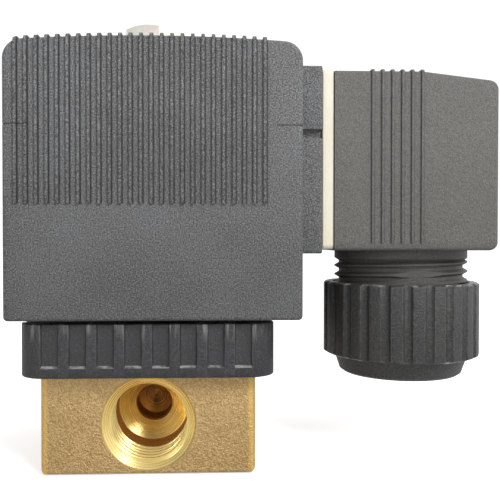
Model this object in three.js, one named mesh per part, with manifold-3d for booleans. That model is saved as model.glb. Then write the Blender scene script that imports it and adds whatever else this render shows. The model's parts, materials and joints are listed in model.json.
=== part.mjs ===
// Direct-acting solenoid valve: a brass body with a threaded port front and back, a plunger in
// a guide tube, a moulded coil clamped on the tube by a nut, and a plug-on electrical connector.
// Millimetres, +Z up. The origin is the centre of the brass body's underside, the ports open
// along -Y and +Y, and the connector stands out along +X.

import * as THREE from 'three';
import { mergeVertices } from 'three/addons/utils/BufferGeometryUtils.js';
import Module from 'manifold-3d';

const wasm = await Module();
wasm.setup();

// ---------------------------------------------------------------- driving dimensions

const GAP = 0.3; // air left between pieces that touch when they are tightened
const SLIM = 0.15; // the same between small inner pieces
const PAST = 1; // how far a cutting tool runs past the face that it cuts
const FACETS = { visible: 32, inner: 20, small: 12, section: 8, groove: 6 };

const BODY = { half: 16, shoulder: 14.6, neckHalf: 15.7, top: 16, edge: 0.9, footEdge: 0.3 };
const SEAT = { chamberR: 8, chamberZ: 14.3, r: 4, boreR: 2.5, z: 15.4 }; // round the plunger's seal
const PORT = {
  z: 7.5, mouthR: 7, crestR: 5.72, pointAngle: 59, // degrees from the drill's axis to its cutting edge
  frontDrill: 11.4, frontBoreR: 3, frontBore: 20, rearDrill: 7.2,
};
const RISER = { y: 7.2, r: 1.6 }; // the passage from the rear port up to the chamber
const BASE_HOLE = { x: 11.5, r: 1.65, depth: 6 }; // M4 tapping holes under the body
const CORNER = {
  at: 12.5, holeR: 2.1, holeZ: 7.6, shankR: 1.9, shankZ: 8,
  headR: 3.4, headZ: 19.9, headTop: 22.4, keyFlats: 2.5, keyDepth: 1.4,
};
const O_RING = { r: 9.7, section: 0.45, grooveIn: 9.0, grooveOut: 10.4, grooveZ: 15.0 };

const COLLAR = { half: 18.8, corner: 4, bottom: 14.8, top: 22.65, pocket: 16, roof: 18.1 };
const FLUTE = { count: 8, pitch: 4.0, width: 2.4, depth: 0.5, bottom: 16.4 };

const TUBE = { inner: 5.7, outer: 6.5, flangeR: 12, flangeZ: 16.3, flangeTop: 17.8, top: 60 };
const CORE = { r: 5.4, bottom: 40, shoulder: 62, studR: 3, studTop: 69.9, studChamfer: 0.7 };
const SHADING = { inner: 3.7, outer: 4.3, depth: 1.0 };
const PLUNGER = { r: 5.3, bottom: 16.3, top: 38, boreR: 2.7, boreZ: 30 };
const PLUNGER_SEAL = { r: 3.5, low: 15.7, high: 17.8 };
const SPRING = { r: 2.1, wire: 0.3, turns: 6, stepsPerTurn: 12 };

const COIL = { left: -20.4, right: 22.6, half: 19.8, bottom: 23.2, top: 63.3, crown: 0.8, boreR: 7 };
const COIL_EDGE = { shoulder: 2.6, front: 0.8, bottom: 0.6 };
const COIL_CAVITY = { x: 17.3, y: 15.3, low: 25.2, high: 60.8 };
const RIB = { count: 25, pitch: 1.477, centre: -0.7, width: 0.5, height: 0.3, bottom: 40 };
const COIL_SEAL = { inner: 6.9, outer: 9.0, recessR: 9.3, recessDepth: 1.2, standing: 0.2 };
const SOCKET = {
  x: 26.4, half: 14, low: 32.75, high: 61.45, edge: 0.5,
  notchLow: 50.4, notchHigh: 51.7, notchDepth: 1,
};

const YOKE = { x: 17, half: 12, sheet: 2.5, low: 25.5, high: 60.5 };
const BOBBIN = { inner: 7.0, hub: 8.5, flangeR: 14.2, flange: 1.5, low: 28.3, high: 57.7 };
const WINDING = { inner: 8.8, outer: 13.4 };

const PLUG = {
  z: 47, x: 28.3, back: 53.9, half: 13.75, low: 33.2, high: 60.8, wall: 2,
  sideEdge: 0.5, backEdge: 1.3,
};
const PLUG_TOP = { flatEnd: 42, drop: 1.4 };
const PLUG_RIB = { first: 34.2, count: 6, pitch: 1.54, width: 0.4, height: 0.25, bottom: 34.4 };
const GASKET = { x: 26.5, thick: 1.7, half: 13.5, low: 33.4, high: 61, edge: 0.8 };
const CARRIER = { x: 28.7, back: 40, half: 11.3, low: 35.5, high: 56.9 };
const BLADE = { offset: 9, width: 6.3, thick: 0.8, root: 17.5, tip: 36 };
const CONTACT = { x: 30.3, back: 39.6, width: 8, thick: 2.8, slotEnd: 37.5 };
const TERMINAL = { shankR: 1.1, headR: 2.2, headX: 40.2, end: 42.1, tip: 38.2 };
const PLUG_SCREW = {
  shankR: 1.4, holeR: 1.8, tip: 21.2,
  headR: 2.9, headX: 51.6, headEnd: 53.4, slotHalf: 0.4, slotDepth: 0.9,
};
const BOSS = { r: 4.6, x: 44.5, recessR: 3.3, recessX: 50.6 };
const BUSH = { r: 2.4, boreR: 1.7, x: 20.4, end: 26.3 };

const GLAND = { x: 42.5, neckR: 11.2, neckBottom: 21, boreR: 8, boreTop: 28.3, throatR: 6.5 };
const NUT = {
  r: 13.1, rootR: 12.55, low: 15.2, high: 27.7, lowChamfer: 0.4, highChamfer: 0.3,
  grooves: 24, grooveR: 0.85, turn: 4.3, // degrees that the first groove stands from +X
  boreR: 11.5, floor: 17.6,
};
const NUT_LIP = { topR: 11.2, r: 10.3, bottom: 12.1, mouthR: 5.6 };
const GROMMET = { inner: 4.2, outer: 7.7, low: 20.3, high: 28 };
const THRUST = { inner: 4.8, outer: 7.6, low: 17.9, high: 20 };

const WASHER = { inner: 3.3, outer: 8.5, low: 64.5, high: 65.3 };
const COIL_NUT = {
  flats: 10, chamferR: 4.85, boreR: 3.3, low: 65.4, high: 70.3,
  turn: 10, // degrees that its front corner stands from -Y
};

// ---------------------------------------------------------------- materials

function finish(color, roughness, metalness) {
  return new THREE.MeshStandardMaterial({ color, roughness, metalness });
}

const MATERIALS = {
  brass: finish(0xb89a62, 0.42, 1.0),
  coilPlastic: finish(0x63666a, 0.75, 0.0),
  collarPlastic: finish(0x3b3d40, 0.5, 0.0),
  plugPlastic: finish(0x73726d, 0.65, 0.0),
  carrierPlastic: finish(0x9a9c98, 0.6, 0.0),
  gasketRubber: finish(0xf3eedd, 0.8, 0.0),
  blackRubber: finish(0x232323, 0.85, 0.0),
  stainless: finish(0xb9bbbd, 0.3, 1.0),
  zincYellow: finish(0xd9cf9a, 0.35, 1.0),
  plainSteel: finish(0x8f9193, 0.45, 1.0),
  copper: finish(0xb26a3c, 0.35, 1.0),
  nylon: finish(0xd8d2c2, 0.55, 0.0),
};

// ---------------------------------------------------------------- shaping tools

/** A closed three.js geometry as a solid that can be joined and cut. */
function solid(geometry) {
  const bare = geometry.clone();
  bare.deleteAttribute('normal');
  bare.deleteAttribute('uv');
  const merged = mergeVertices(bare);
  const corners = [];
  for (let i = 0; i < merged.index.count; i += 3) {
    const triangle = [0, 1, 2].map((k) => merged.index.getX(i + k));
    if (new Set(triangle).size === 3) corners.push(...triangle);
  }
  return new wasm.Manifold(new wasm.Mesh({
    numProp: 3,
    vertProperties: new Float32Array(merged.attributes.position.array),
    triVerts: new Uint32Array(corners),
  }));
}

/** The surface of a solid, as a geometry. */
function surface(manifold) {
  const mesh = manifold.getMesh();
  const geometry = new THREE.BufferGeometry();
  geometry.setAttribute('position', new THREE.BufferAttribute(mesh.vertProperties, mesh.numProp));
  geometry.setIndex(new THREE.BufferAttribute(mesh.triVerts, 1));
  geometry.computeVertexNormals();
  return geometry;
}

const join = (...pieces) => surface(pieces.map(solid).reduce((sum, piece) => sum.add(piece)));
const common = (...pieces) => surface(pieces.map(solid).reduce((rest, piece) => rest.intersect(piece)));

function cut(base, ...tools) {
  return surface(tools.map(solid).reduce((rest, tool) => rest.subtract(tool), solid(base)));
}

/** A block between two corners, each given as [low, high] along its axis. */
function block([x0, x1], [y0, y1], [z0, z1]) {
  return new THREE.BoxGeometry(x1 - x0, y1 - y0, z1 - z0)
    .translate((x0 + x1) / 2, (y0 + y1) / 2, (z0 + z1) / 2);
}

/** A body turned about Z from [radius, z] points that run counter-clockwise round its section. */
function turned(profile, facets = FACETS.inner) {
  const points = profile.map(([r, z]) => new THREE.Vector2(r, z));
  return new THREE.LatheGeometry(points, facets).rotateX(Math.PI / 2);
}

const rod = (r, z0, z1, facets) => turned([[0, z0], [r, z0], [r, z1], [0, z1]], facets);

function ring(inner, outer, z0, z1, facets) {
  return turned([[inner, z0], [outer, z0], [outer, z1], [inner, z1], [inner, z0]], facets);
}

/** A shape drawn in X and Y, drawn up from z0 to z1. */
function prism(shape, z0, z1, curveSegments = 6) {
  const settings = { depth: z1 - z0, bevelEnabled: false, curveSegments };
  return new THREE.ExtrudeGeometry(shape, settings).translate(0, 0, z0);
}

const aimAlongX = (geometry) => geometry.rotateY(Math.PI / 2); // turns +Z to +X
const aimAlongY = (geometry) => geometry.rotateX(-Math.PI / 2); // turns +Z to +Y

/** A shape drawn in X and Z, drawn out along Y. */
function prismAlongY(shape, y0, y1, curveSegments) {
  return prism(shape, 0, y1 - y0, curveSegments).rotateX(Math.PI / 2).translate(0, y1, 0);
}

/** A shape drawn in Y and Z, drawn out along X. */
function prismAlongX(shape, x0, x1, curveSegments) {
  const upright = prism(shape, 0, x1 - x0, curveSegments).rotateX(Math.PI / 2);
  return upright.rotateZ(Math.PI / 2).translate(x0, 0, 0);
}

/** A rectangle whose lower and upper corners are rounded by their own radii. */
function roundedRectangle([u0, u1], [v0, v1], lowR, highR = lowR, crown = 0) {
  const shape = new THREE.Shape();
  shape.moveTo(u0 + lowR, v0);
  shape.absarc(u1 - lowR, v0 + lowR, lowR, -Math.PI / 2, 0);
  shape.absarc(u1 - highR, v1 - highR, highR, 0, Math.PI / 2);
  if (crown > 0) shape.quadraticCurveTo((u0 + u1) / 2, v1 + 2 * crown, u0 + highR, v1);
  shape.absarc(u0 + highR, v1 - highR, highR, Math.PI / 2, Math.PI);
  shape.absarc(u0 + lowR, v0 + lowR, lowR, Math.PI, 1.5 * Math.PI);
  return shape;
}

function hexagon(acrossFlats) {
  const shape = new THREE.Shape();
  for (let i = 0; i < 6; i += 1) {
    const angle = (i * Math.PI) / 3;
    const r = acrossFlats / Math.sqrt(3);
    if (i === 0) shape.moveTo(r * Math.cos(angle), r * Math.sin(angle));
    else shape.lineTo(r * Math.cos(angle), r * Math.sin(angle));
  }
  return shape;
}

/** The four corners of a square pattern, in order round the Z axis. */
const cornersAt = (d) => [[-d, -d], [d, -d], [d, d], [-d, d]];

// ---------------------------------------------------------------- brass body

/** One port's bore, opening at z = 0 and running up: mouth chamfer, thread crest, drill, bore. */
function portTool(drillEnd, boreR, boreEnd) {
  const chamfer = PORT.mouthR - PORT.crestR;
  const drillPoint = (wide, narrow) => (wide - narrow) / Math.tan(THREE.MathUtils.degToRad(PORT.pointAngle));
  const profile = [
    [0, -PAST], [PORT.mouthR + PAST, -PAST], [PORT.crestR, chamfer], [PORT.crestR, drillEnd],
  ];
  if (boreR > 0) {
    profile.push([boreR, drillEnd + drillPoint(PORT.crestR, boreR)]);
    profile.push([boreR, boreEnd - drillPoint(boreR, 0)], [0, boreEnd]);
  } else {
    profile.push([0, drillEnd + drillPoint(PORT.crestR, 0)]);
  }
  return turned(profile, FACETS.visible);
}

function valveBody() {
  const across = [-BODY.half, BODY.half];
  const shape = roundedRectangle(across, across, BODY.edge);
  const height = [0, BODY.top + PAST];
  const lower = common(
    prism(shape, 0, BODY.shoulder, 2),
    prismAlongX(roundedRectangle(across, height, BODY.footEdge), ...across, 2),
    prismAlongY(roundedRectangle(across, height, BODY.edge), ...across, 2),
  );
  const neckAcross = [-BODY.neckHalf, BODY.neckHalf];
  const neck = prism(roundedRectangle(neckAcross, neckAcross, BODY.edge), BODY.shoulder - PAST, BODY.top, 2);
  const blank = join(lower, neck);
  const chamber = ring(SEAT.r, SEAT.chamberR, SEAT.chamberZ, BODY.top + PAST);
  const aboveSeat = rod(SEAT.r + SLIM, SEAT.z, BODY.top + PAST);
  const seatBore = rod(SEAT.boreR, PORT.z, BODY.top);
  const riser = rod(RISER.r, PORT.z, BODY.top, FACETS.small).translate(0, RISER.y, 0);
  const groove = ring(O_RING.grooveIn, O_RING.grooveOut, O_RING.grooveZ, BODY.top + PAST);
  const front = aimAlongY(portTool(PORT.frontDrill, PORT.frontBoreR, PORT.frontBore));
  front.translate(0, -BODY.half, PORT.z);
  const rear = aimAlongY(portTool(PORT.rearDrill, 0)).rotateZ(Math.PI);
  rear.translate(0, BODY.half, PORT.z);
  const screwHoles = cornersAt(CORNER.at)
    .map(([x, y]) => rod(CORNER.holeR, CORNER.holeZ, BODY.top + PAST, FACETS.small).translate(x, y, 0));
  const baseHoles = [-BASE_HOLE.x, BASE_HOLE.x]
    .map((x) => rod(BASE_HOLE.r, -PAST, BASE_HOLE.depth, FACETS.small).translate(x, 0, 0));
  return cut(blank, chamber, aboveSeat, seatBore, riser, groove, front, rear, ...screwHoles, ...baseHoles);
}

function tubeORing() {
  const { r, section, grooveZ } = O_RING;
  const z = grooveZ + section + SLIM;
  const profile = [];
  for (let i = 0; i <= FACETS.section; i += 1) {
    const angle = (2 * Math.PI * i) / FACETS.section;
    profile.push([r + section * Math.cos(angle), z + section * Math.sin(angle)]);
  }
  return turned(profile);
}

// ---------------------------------------------------------------- ribbed collar and its screws

function flangeCollar() {
  const outline = roundedRectangle([-COLLAR.half, COLLAR.half], [-COLLAR.half, COLLAR.half], COLLAR.corner);
  const pocket = [-COLLAR.pocket, COLLAR.pocket];
  const tools = [
    block(pocket, pocket, [COLLAR.bottom - PAST, COLLAR.roof]),
    rod(TUBE.outer + GAP, COLLAR.roof - PAST, COLLAR.top + PAST),
  ];
  for (const [x, y] of cornersAt(CORNER.at)) {
    const shankHole = rod(CORNER.shankR + GAP, COLLAR.roof - PAST, COLLAR.top, FACETS.small);
    const headHole = rod(CORNER.headR + GAP, CORNER.headZ - GAP, COLLAR.top + PAST, FACETS.small);
    tools.push(shankHole.translate(x, y, 0), headHole.translate(x, y, 0));
  }
  for (let side = 0; side < 4; side += 1) {
    for (let i = 0; i < FLUTE.count; i += 1) {
      const middle = (i - (FLUTE.count - 1) / 2) * FLUTE.pitch;
      tools.push(block(
        [middle - FLUTE.width / 2, middle + FLUTE.width / 2],
        [-COLLAR.half - PAST, -COLLAR.half + FLUTE.depth],
        [FLUTE.bottom, COLLAR.top + PAST],
      ).rotateZ((side * Math.PI) / 2));
    }
  }
  return cut(prism(outline, COLLAR.bottom, COLLAR.top), ...tools);
}

function collarScrew([x, y]) {
  const screw = join(
    rod(CORNER.shankR, CORNER.shankZ, CORNER.headTop - PAST, FACETS.small),
    rod(CORNER.headR, CORNER.headZ, CORNER.headTop, FACETS.small),
  );
  const socket = prism(hexagon(CORNER.keyFlats), CORNER.headTop - CORNER.keyDepth, CORNER.headTop + PAST);
  return cut(screw, socket).translate(x, y, 0);
}

// ---------------------------------------------------------------- guide tube, core and plunger

function armatureTube() {
  return turned([
    [TUBE.inner, TUBE.flangeZ], [TUBE.flangeR, TUBE.flangeZ], [TUBE.flangeR, TUBE.flangeTop],
    [TUBE.outer, TUBE.flangeTop], [TUBE.outer, TUBE.top], [TUBE.inner, TUBE.top], [TUBE.inner, TUBE.flangeZ],
  ], FACETS.visible);
}

function fixedCore() {
  const tip = CORE.studR - CORE.studChamfer;
  const core = turned([
    [0, CORE.bottom], [CORE.r, CORE.bottom], [CORE.r, CORE.shoulder], [CORE.studR, CORE.shoulder],
    [CORE.studR, CORE.studTop - CORE.studChamfer], [tip, CORE.studTop], [0, CORE.studTop],
  ], FACETS.inner);
  const grooveTop = CORE.bottom + SHADING.depth + SLIM;
  return cut(core, ring(SHADING.inner - SLIM, SHADING.outer + SLIM, CORE.bottom - PAST, grooveTop));
}

const shadingRing = () => ring(SHADING.inner, SHADING.outer, CORE.bottom, CORE.bottom + SHADING.depth);

function plunger() {
  return cut(
    rod(PLUNGER.r, PLUNGER.bottom, PLUNGER.top),
    rod(PLUNGER.boreR, PLUNGER.boreZ, PLUNGER.top + PAST),
    rod(PLUNGER_SEAL.r + SLIM, PLUNGER.bottom - PAST, PLUNGER_SEAL.high + SLIM),
  );
}

function returnSpring() {
  const low = PLUNGER.boreZ + SPRING.wire + SLIM;
  const high = CORE.bottom - SPRING.wire - SLIM;
  const points = [];
  const steps = SPRING.turns * SPRING.stepsPerTurn;
  for (let i = 0; i <= steps; i += 1) {
    const angle = (2 * Math.PI * i) / SPRING.stepsPerTurn;
    const rise = low + ((high - low) * i) / steps;
    points.push(new THREE.Vector3(SPRING.r * Math.cos(angle), SPRING.r * Math.sin(angle), rise));
  }
  const wire = new THREE.Shape().absarc(0, 0, SPRING.wire, 0, 2 * Math.PI);
  const extrudePath = new THREE.CatmullRomCurve3(points);
  const settings = { steps, curveSegments: 3, bevelEnabled: false, extrudePath };
  return surface(solid(new THREE.ExtrudeGeometry(wire, settings)));
}

// ---------------------------------------------------------------- coil

/** The coil's outer form, grown by a margin on its front, back and top. */
function coilForm(margin) {
  const across = [COIL.left, COIL.right];
  const depth = [-COIL.half - margin, COIL.half + margin];
  const height = [COIL.bottom, COIL.top + margin];
  const plan = roundedRectangle(across, depth, COIL_EDGE.front);
  const frontOutline = roundedRectangle(across, height, COIL_EDGE.bottom, COIL_EDGE.shoulder, COIL.crown);
  const crownHeight = [COIL.bottom, COIL.top + COIL.crown + margin];
  const sideOutline = roundedRectangle(depth, crownHeight, COIL_EDGE.bottom, COIL_EDGE.front);
  return common(
    prism(plan, COIL.bottom, COIL.top + 2 * PAST, 3),
    prismAlongY(frontOutline, ...depth, 3),
    prismAlongX(sideOutline, ...across, 3),
  );
}

function coilRibs() {
  const bars = [];
  for (let i = 0; i < RIB.count; i += 1) {
    const middle = RIB.centre + (i - (RIB.count - 1) / 2) * RIB.pitch;
    const reach = COIL.half + PAST;
    bars.push(block(
      [middle - RIB.width / 2, middle + RIB.width / 2], [-reach, reach], [RIB.bottom, COIL.top + 2 * PAST],
    ));
  }
  return common(coilForm(RIB.height), join(...bars));
}

function connectorBase() {
  const outline = roundedRectangle([-SOCKET.half, SOCKET.half], [SOCKET.low, SOCKET.high], SOCKET.edge);
  const base = prismAlongX(outline, COIL.right - PAST, SOCKET.x, 3);
  const notch = (side) => block(
    [COIL.right, SOCKET.x + PAST],
    [side * SOCKET.half - SOCKET.notchDepth, side * SOCKET.half + SOCKET.notchDepth],
    [SOCKET.notchLow, SOCKET.notchHigh],
  );
  return cut(base, notch(-1), notch(1));
}

/** Places of the three contacts: offset along Y, offset along Z, and whether the blade lies flat. */
const CONTACTS = {
  a: { y: -BLADE.offset, z: PLUG.z, flat: false },
  b: { y: BLADE.offset, z: PLUG.z, flat: false },
  earth: { y: 0, z: PLUG.z - BLADE.offset, flat: true },
};

/** A bar along X at a contact's place, wide in Z, or in Y where the blade lies flat. */
function contactBar({ y, z, flat }, [x0, x1], width, thick) {
  const [dy, dz] = flat ? [width / 2, thick / 2] : [thick / 2, width / 2];
  return block([x0, x1], [y - dy, y + dy], [z - dz, z + dz]);
}

const bladeSlot = (place, span) => contactBar(place, span, BLADE.width + 2 * GAP, BLADE.thick + 2 * GAP);

const alongPlugAxis = (geometry) => aimAlongX(geometry).translate(0, 0, PLUG.z);

function coilHousing() {
  const cavity = block(
    [-COIL_CAVITY.x, COIL_CAVITY.x], [-COIL_CAVITY.y, COIL_CAVITY.y], [COIL_CAVITY.low, COIL_CAVITY.high],
  );
  const bore = rod(COIL.boreR, COIL.bottom - PAST, COIL.top + 2 * PAST, FACETS.visible);
  const lowRecess = rod(COIL_SEAL.recessR, COIL.bottom - PAST, COIL.bottom + COIL_SEAL.recessDepth);
  const crownTop = COIL.top + COIL.crown;
  const highRecess = rod(COIL_SEAL.recessR, crownTop - COIL_SEAL.recessDepth, crownTop + 2 * PAST);
  const slotSpan = [COIL_CAVITY.x - PAST, SOCKET.x + PAST];
  const slots = Object.values(CONTACTS).map((place) => bladeSlot(place, slotSpan));
  const bushHole = alongPlugAxis(rod(BUSH.r + SLIM, BUSH.x - SLIM, SOCKET.x + PAST, FACETS.small));
  const outside = join(coilForm(0), coilRibs(), connectorBase());
  return cut(outside, cavity, bore, lowRecess, highRecess, ...slots, bushHole);
}

const coilSealLower = () => ring(
  COIL_SEAL.inner, COIL_SEAL.outer,
  COIL.bottom - COIL_SEAL.standing, COIL.bottom + COIL_SEAL.recessDepth - SLIM,
);

const coilSealUpper = () => ring(
  COIL_SEAL.inner, COIL_SEAL.outer,
  COIL.top + COIL.crown - COIL_SEAL.recessDepth + SLIM, COIL.top + COIL.crown + COIL_SEAL.standing,
);

function magnetYoke() {
  const span = [-YOKE.x, YOKE.x];
  const width = [-YOKE.half, YOKE.half];
  const inside = block(
    [-YOKE.x + YOKE.sheet, YOKE.x - YOKE.sheet], [-YOKE.half - PAST, YOKE.half + PAST],
    [YOKE.low + YOKE.sheet, YOKE.high],
  );
  const strip = block(span, width, [YOKE.low, YOKE.high - YOKE.sheet - GAP]);
  return cut(strip, inside, rod(COIL.boreR, YOKE.low - PAST, YOKE.low + 2 * YOKE.sheet));
}

function yokeTopPlate() {
  const plate = block([-YOKE.x, YOKE.x], [-YOKE.half, YOKE.half], [YOKE.high - YOKE.sheet, YOKE.high]);
  return cut(plate, rod(COIL.boreR, YOKE.low, YOKE.high + PAST));
}

function coilBobbin() {
  const low = BOBBIN.low + BOBBIN.flange;
  const high = BOBBIN.high - BOBBIN.flange;
  return turned([
    [BOBBIN.inner, BOBBIN.low], [BOBBIN.flangeR, BOBBIN.low], [BOBBIN.flangeR, low], [BOBBIN.hub, low],
    [BOBBIN.hub, high], [BOBBIN.flangeR, high], [BOBBIN.flangeR, BOBBIN.high], [BOBBIN.inner, BOBBIN.high],
    [BOBBIN.inner, BOBBIN.low],
  ]);
}

const coilWinding = () => ring(
  WINDING.inner, WINDING.outer, BOBBIN.low + BOBBIN.flange + GAP, BOBBIN.high - BOBBIN.flange - GAP,
);

const blade = (place) => contactBar(place, [BLADE.root, BLADE.tip], BLADE.width, BLADE.thick);

function screwBush() {
  return alongPlugAxis(ring(BUSH.boreR, BUSH.r, BUSH.x, BUSH.end, FACETS.small));
}

// ---------------------------------------------------------------- coil nut

const coilWasher = () => ring(WASHER.inner, WASHER.outer, WASHER.low, WASHER.high);

function coilNut() {
  const { flats, chamferR, boreR, low, high, turn } = COIL_NUT;
  const cornerR = flats / Math.sqrt(3);
  const rise = (cornerR - chamferR) * Math.tan(Math.PI / 6);
  const cone = turned([
    [0, low], [chamferR, low], [cornerR, low + rise], [cornerR, high - rise], [chamferR, high], [0, high],
  ], FACETS.visible);
  const bar = prism(hexagon(flats), low, high).rotateZ(THREE.MathUtils.degToRad(turn - 90));
  return cut(common(bar, cone), rod(boreR, low - PAST, high + PAST));
}

// ---------------------------------------------------------------- plug

function profileGasket() {
  const outline = roundedRectangle([-GASKET.half, GASKET.half], [GASKET.low, GASKET.high], GASKET.edge);
  const span = [GASKET.x - PAST, GASKET.x + GASKET.thick + PAST];
  const slots = Object.values(CONTACTS).map((place) => bladeSlot(place, span));
  const screwHole = alongPlugAxis(rod(PLUG_SCREW.holeR, ...span, FACETS.small));
  return cut(prismAlongX(outline, GASKET.x, GASKET.x + GASKET.thick, 3), ...slots, screwHole);
}

/** The plug seen from the front, its top grown by a margin: flat, then sloping to the back. */
function plugOutline(margin) {
  const shape = new THREE.Shape();
  const { x, back, low, high, backEdge: edge } = PLUG;
  const rearTop = high - PLUG_TOP.drop;
  shape.moveTo(x, low);
  shape.lineTo(back - edge, low);
  shape.absarc(back - edge, low + edge, edge, -Math.PI / 2, 0);
  shape.absarc(back - edge, rearTop - edge, edge, 0, Math.PI / 2);
  shape.lineTo(PLUG_TOP.flatEnd, high + margin);
  shape.lineTo(x, high + margin);
  return shape;
}

function plugForm(margin) {
  const half = PLUG.half + margin;
  const section = roundedRectangle([-half, half], [PLUG.low, PLUG.high + margin], PLUG.sideEdge);
  return common(
    prismAlongY(plugOutline(margin), -half, half, 3),
    prismAlongX(section, PLUG.x, PLUG.back, 3),
  );
}

function plugRibs() {
  const bars = [];
  for (let i = 0; i < PLUG_RIB.count; i += 1) {
    const middle = PLUG_RIB.first + i * PLUG_RIB.pitch;
    const reach = PLUG.half + PAST;
    bars.push(block(
      [middle - PLUG_RIB.width / 2, middle + PLUG_RIB.width / 2],
      [-reach, reach],
      [PLUG_RIB.bottom, PLUG.high + PAST],
    ));
  }
  return common(plugForm(PLUG_RIB.height), join(...bars));
}

function plugHousing() {
  const wall = PLUG.wall;
  const inside = block(
    [PLUG.x - PAST, PLUG.back - wall],
    [-PLUG.half + wall, PLUG.half - wall],
    [PLUG.low + wall, PLUG.high - PLUG_TOP.drop - wall],
  );
  const boss = alongPlugAxis(rod(BOSS.r, BOSS.x, PLUG.back - PAST, FACETS.inner));
  const neck = rod(GLAND.neckR, GLAND.neckBottom, PLUG.low + PAST, FACETS.visible).translate(GLAND.x, 0, 0);
  const neckBore = rod(GLAND.boreR, GLAND.neckBottom - PAST, GLAND.boreTop).translate(GLAND.x, 0, 0);
  const throat = rod(GLAND.throatR, GLAND.neckBottom, PLUG.low + wall + PAST).translate(GLAND.x, 0, 0);
  const screwHole = alongPlugAxis(rod(PLUG_SCREW.holeR, PLUG.x, PLUG.back, FACETS.small));
  const recess = alongPlugAxis(rod(BOSS.recessR, BOSS.recessX, PLUG.back + PAST, FACETS.inner));
  const shell = cut(join(plugForm(0), plugRibs()), inside);
  return cut(join(shell, boss, neck), neckBore, throat, screwHole, recess);
}

function contactCarrier() {
  const carrier = block(
    [CARRIER.x, CARRIER.back], [-CARRIER.half, CARRIER.half], [CARRIER.low, CARRIER.high],
  );
  const tools = Object.values(CONTACTS).flatMap((place) => [
    bladeSlot(place, [CARRIER.x - PAST, CONTACT.x + PAST]),
    contactBar(
      place, [CONTACT.x - SLIM, CARRIER.back + PAST], CONTACT.width + 2 * SLIM, CONTACT.thick + 2 * SLIM,
    ),
  ]);
  const through = rod(PLUG_SCREW.holeR, CARRIER.x - PAST, CARRIER.back + PAST, FACETS.small);
  return cut(carrier, ...tools, alongPlugAxis(through));
}

/** A socket that takes a blade from the front and a clamping screw from behind. */
function plugContact(place) {
  const bar = contactBar(place, [CONTACT.x, CONTACT.back], CONTACT.width, CONTACT.thick);
  const slot = bladeSlot(place, [CONTACT.x - PAST, CONTACT.slotEnd]);
  const hole = aimAlongX(rod(TERMINAL.shankR + SLIM, TERMINAL.tip - SLIM, CONTACT.back + PAST, FACETS.small))
    .translate(0, place.y, place.z);
  return cut(bar, slot, hole);
}

function terminalScrew(place) {
  return aimAlongX(turned([
    [0, TERMINAL.tip], [TERMINAL.shankR, TERMINAL.tip], [TERMINAL.shankR, TERMINAL.headX],
    [TERMINAL.headR, TERMINAL.headX], [TERMINAL.headR, TERMINAL.end], [0, TERMINAL.end],
  ], FACETS.small)).translate(0, place.y, place.z);
}

function plugFixingScrew() {
  const screw = turned([
    [0, PLUG_SCREW.tip], [PLUG_SCREW.shankR, PLUG_SCREW.tip], [PLUG_SCREW.shankR, PLUG_SCREW.headX],
    [PLUG_SCREW.headR, PLUG_SCREW.headX], [PLUG_SCREW.headR, PLUG_SCREW.headEnd], [0, PLUG_SCREW.headEnd],
  ], FACETS.small);
  const driverSlot = block(
    [-PLUG_SCREW.headR, PLUG_SCREW.headR],
    [-PLUG_SCREW.slotHalf, PLUG_SCREW.slotHalf],
    [PLUG_SCREW.headEnd - PLUG_SCREW.slotDepth, PLUG_SCREW.headEnd + PAST],
  );
  return alongPlugAxis(cut(screw, driverSlot));
}

function screwSeal() {
  const inner = PLUG_SCREW.shankR + SLIM;
  return alongPlugAxis(
    ring(inner, PLUG_SCREW.headR, BOSS.recessX + SLIM, PLUG_SCREW.headX - SLIM, FACETS.small),
  );
}

// ---------------------------------------------------------------- cable gland

const atGland = (geometry) => geometry.translate(GLAND.x, 0, 0);

const cableGrommet = () => atGland(ring(GROMMET.inner, GROMMET.outer, GROMMET.low, GROMMET.high));
const thrustRing = () => atGland(ring(THRUST.inner, THRUST.outer, THRUST.low, THRUST.high));

function glandNut() {
  const outer = turned([
    [0, NUT_LIP.bottom], [NUT_LIP.r, NUT_LIP.bottom], [NUT_LIP.topR, NUT.low],
    [NUT.rootR, NUT.low], [NUT.r, NUT.low + NUT.lowChamfer],
    [NUT.r, NUT.high - NUT.highChamfer], [NUT.rootR, NUT.high], [0, NUT.high],
  ], 2 * NUT.grooves);
  const tools = [
    rod(NUT_LIP.mouthR, NUT_LIP.bottom - PAST, NUT.floor + PAST),
    rod(NUT.boreR, NUT.floor, NUT.high + PAST, FACETS.visible),
  ];
  for (let i = 0; i < NUT.grooves; i += 1) {
    const groove = rod(NUT.grooveR, NUT.low - PAST, NUT.high + PAST, FACETS.groove)
      .translate(NUT.rootR + NUT.grooveR, 0, 0)
      .rotateZ(THREE.MathUtils.degToRad(NUT.turn + (360 * i) / NUT.grooves));
    tools.push(groove);
  }
  return atGland(cut(outer, ...tools));
}

// ---------------------------------------------------------------- the assembly

const valve = new THREE.Group();

function fit(name, geometry, material) {
  const mesh = new THREE.Mesh(geometry, material);
  mesh.name = name;
  valve.add(mesh);
}

fit('valve_body', valveBody(), MATERIALS.brass);
fit('tube_oring', tubeORing(), MATERIALS.blackRubber);
fit('flange_collar', flangeCollar(), MATERIALS.collarPlastic);
cornersAt(CORNER.at).forEach((corner, i) => {
  fit(`collar_screw_${i + 1}`, collarScrew(corner), MATERIALS.stainless);
});

fit('armature_tube', armatureTube(), MATERIALS.stainless);
fit('fixed_core', fixedCore(), MATERIALS.stainless);
fit('shading_ring', shadingRing(), MATERIALS.copper);
fit('plunger', plunger(), MATERIALS.stainless);
fit('plunger_seal', rod(PLUNGER_SEAL.r, PLUNGER_SEAL.low, PLUNGER_SEAL.high), MATERIALS.blackRubber);
fit('return_spring', returnSpring(), MATERIALS.stainless);

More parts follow.
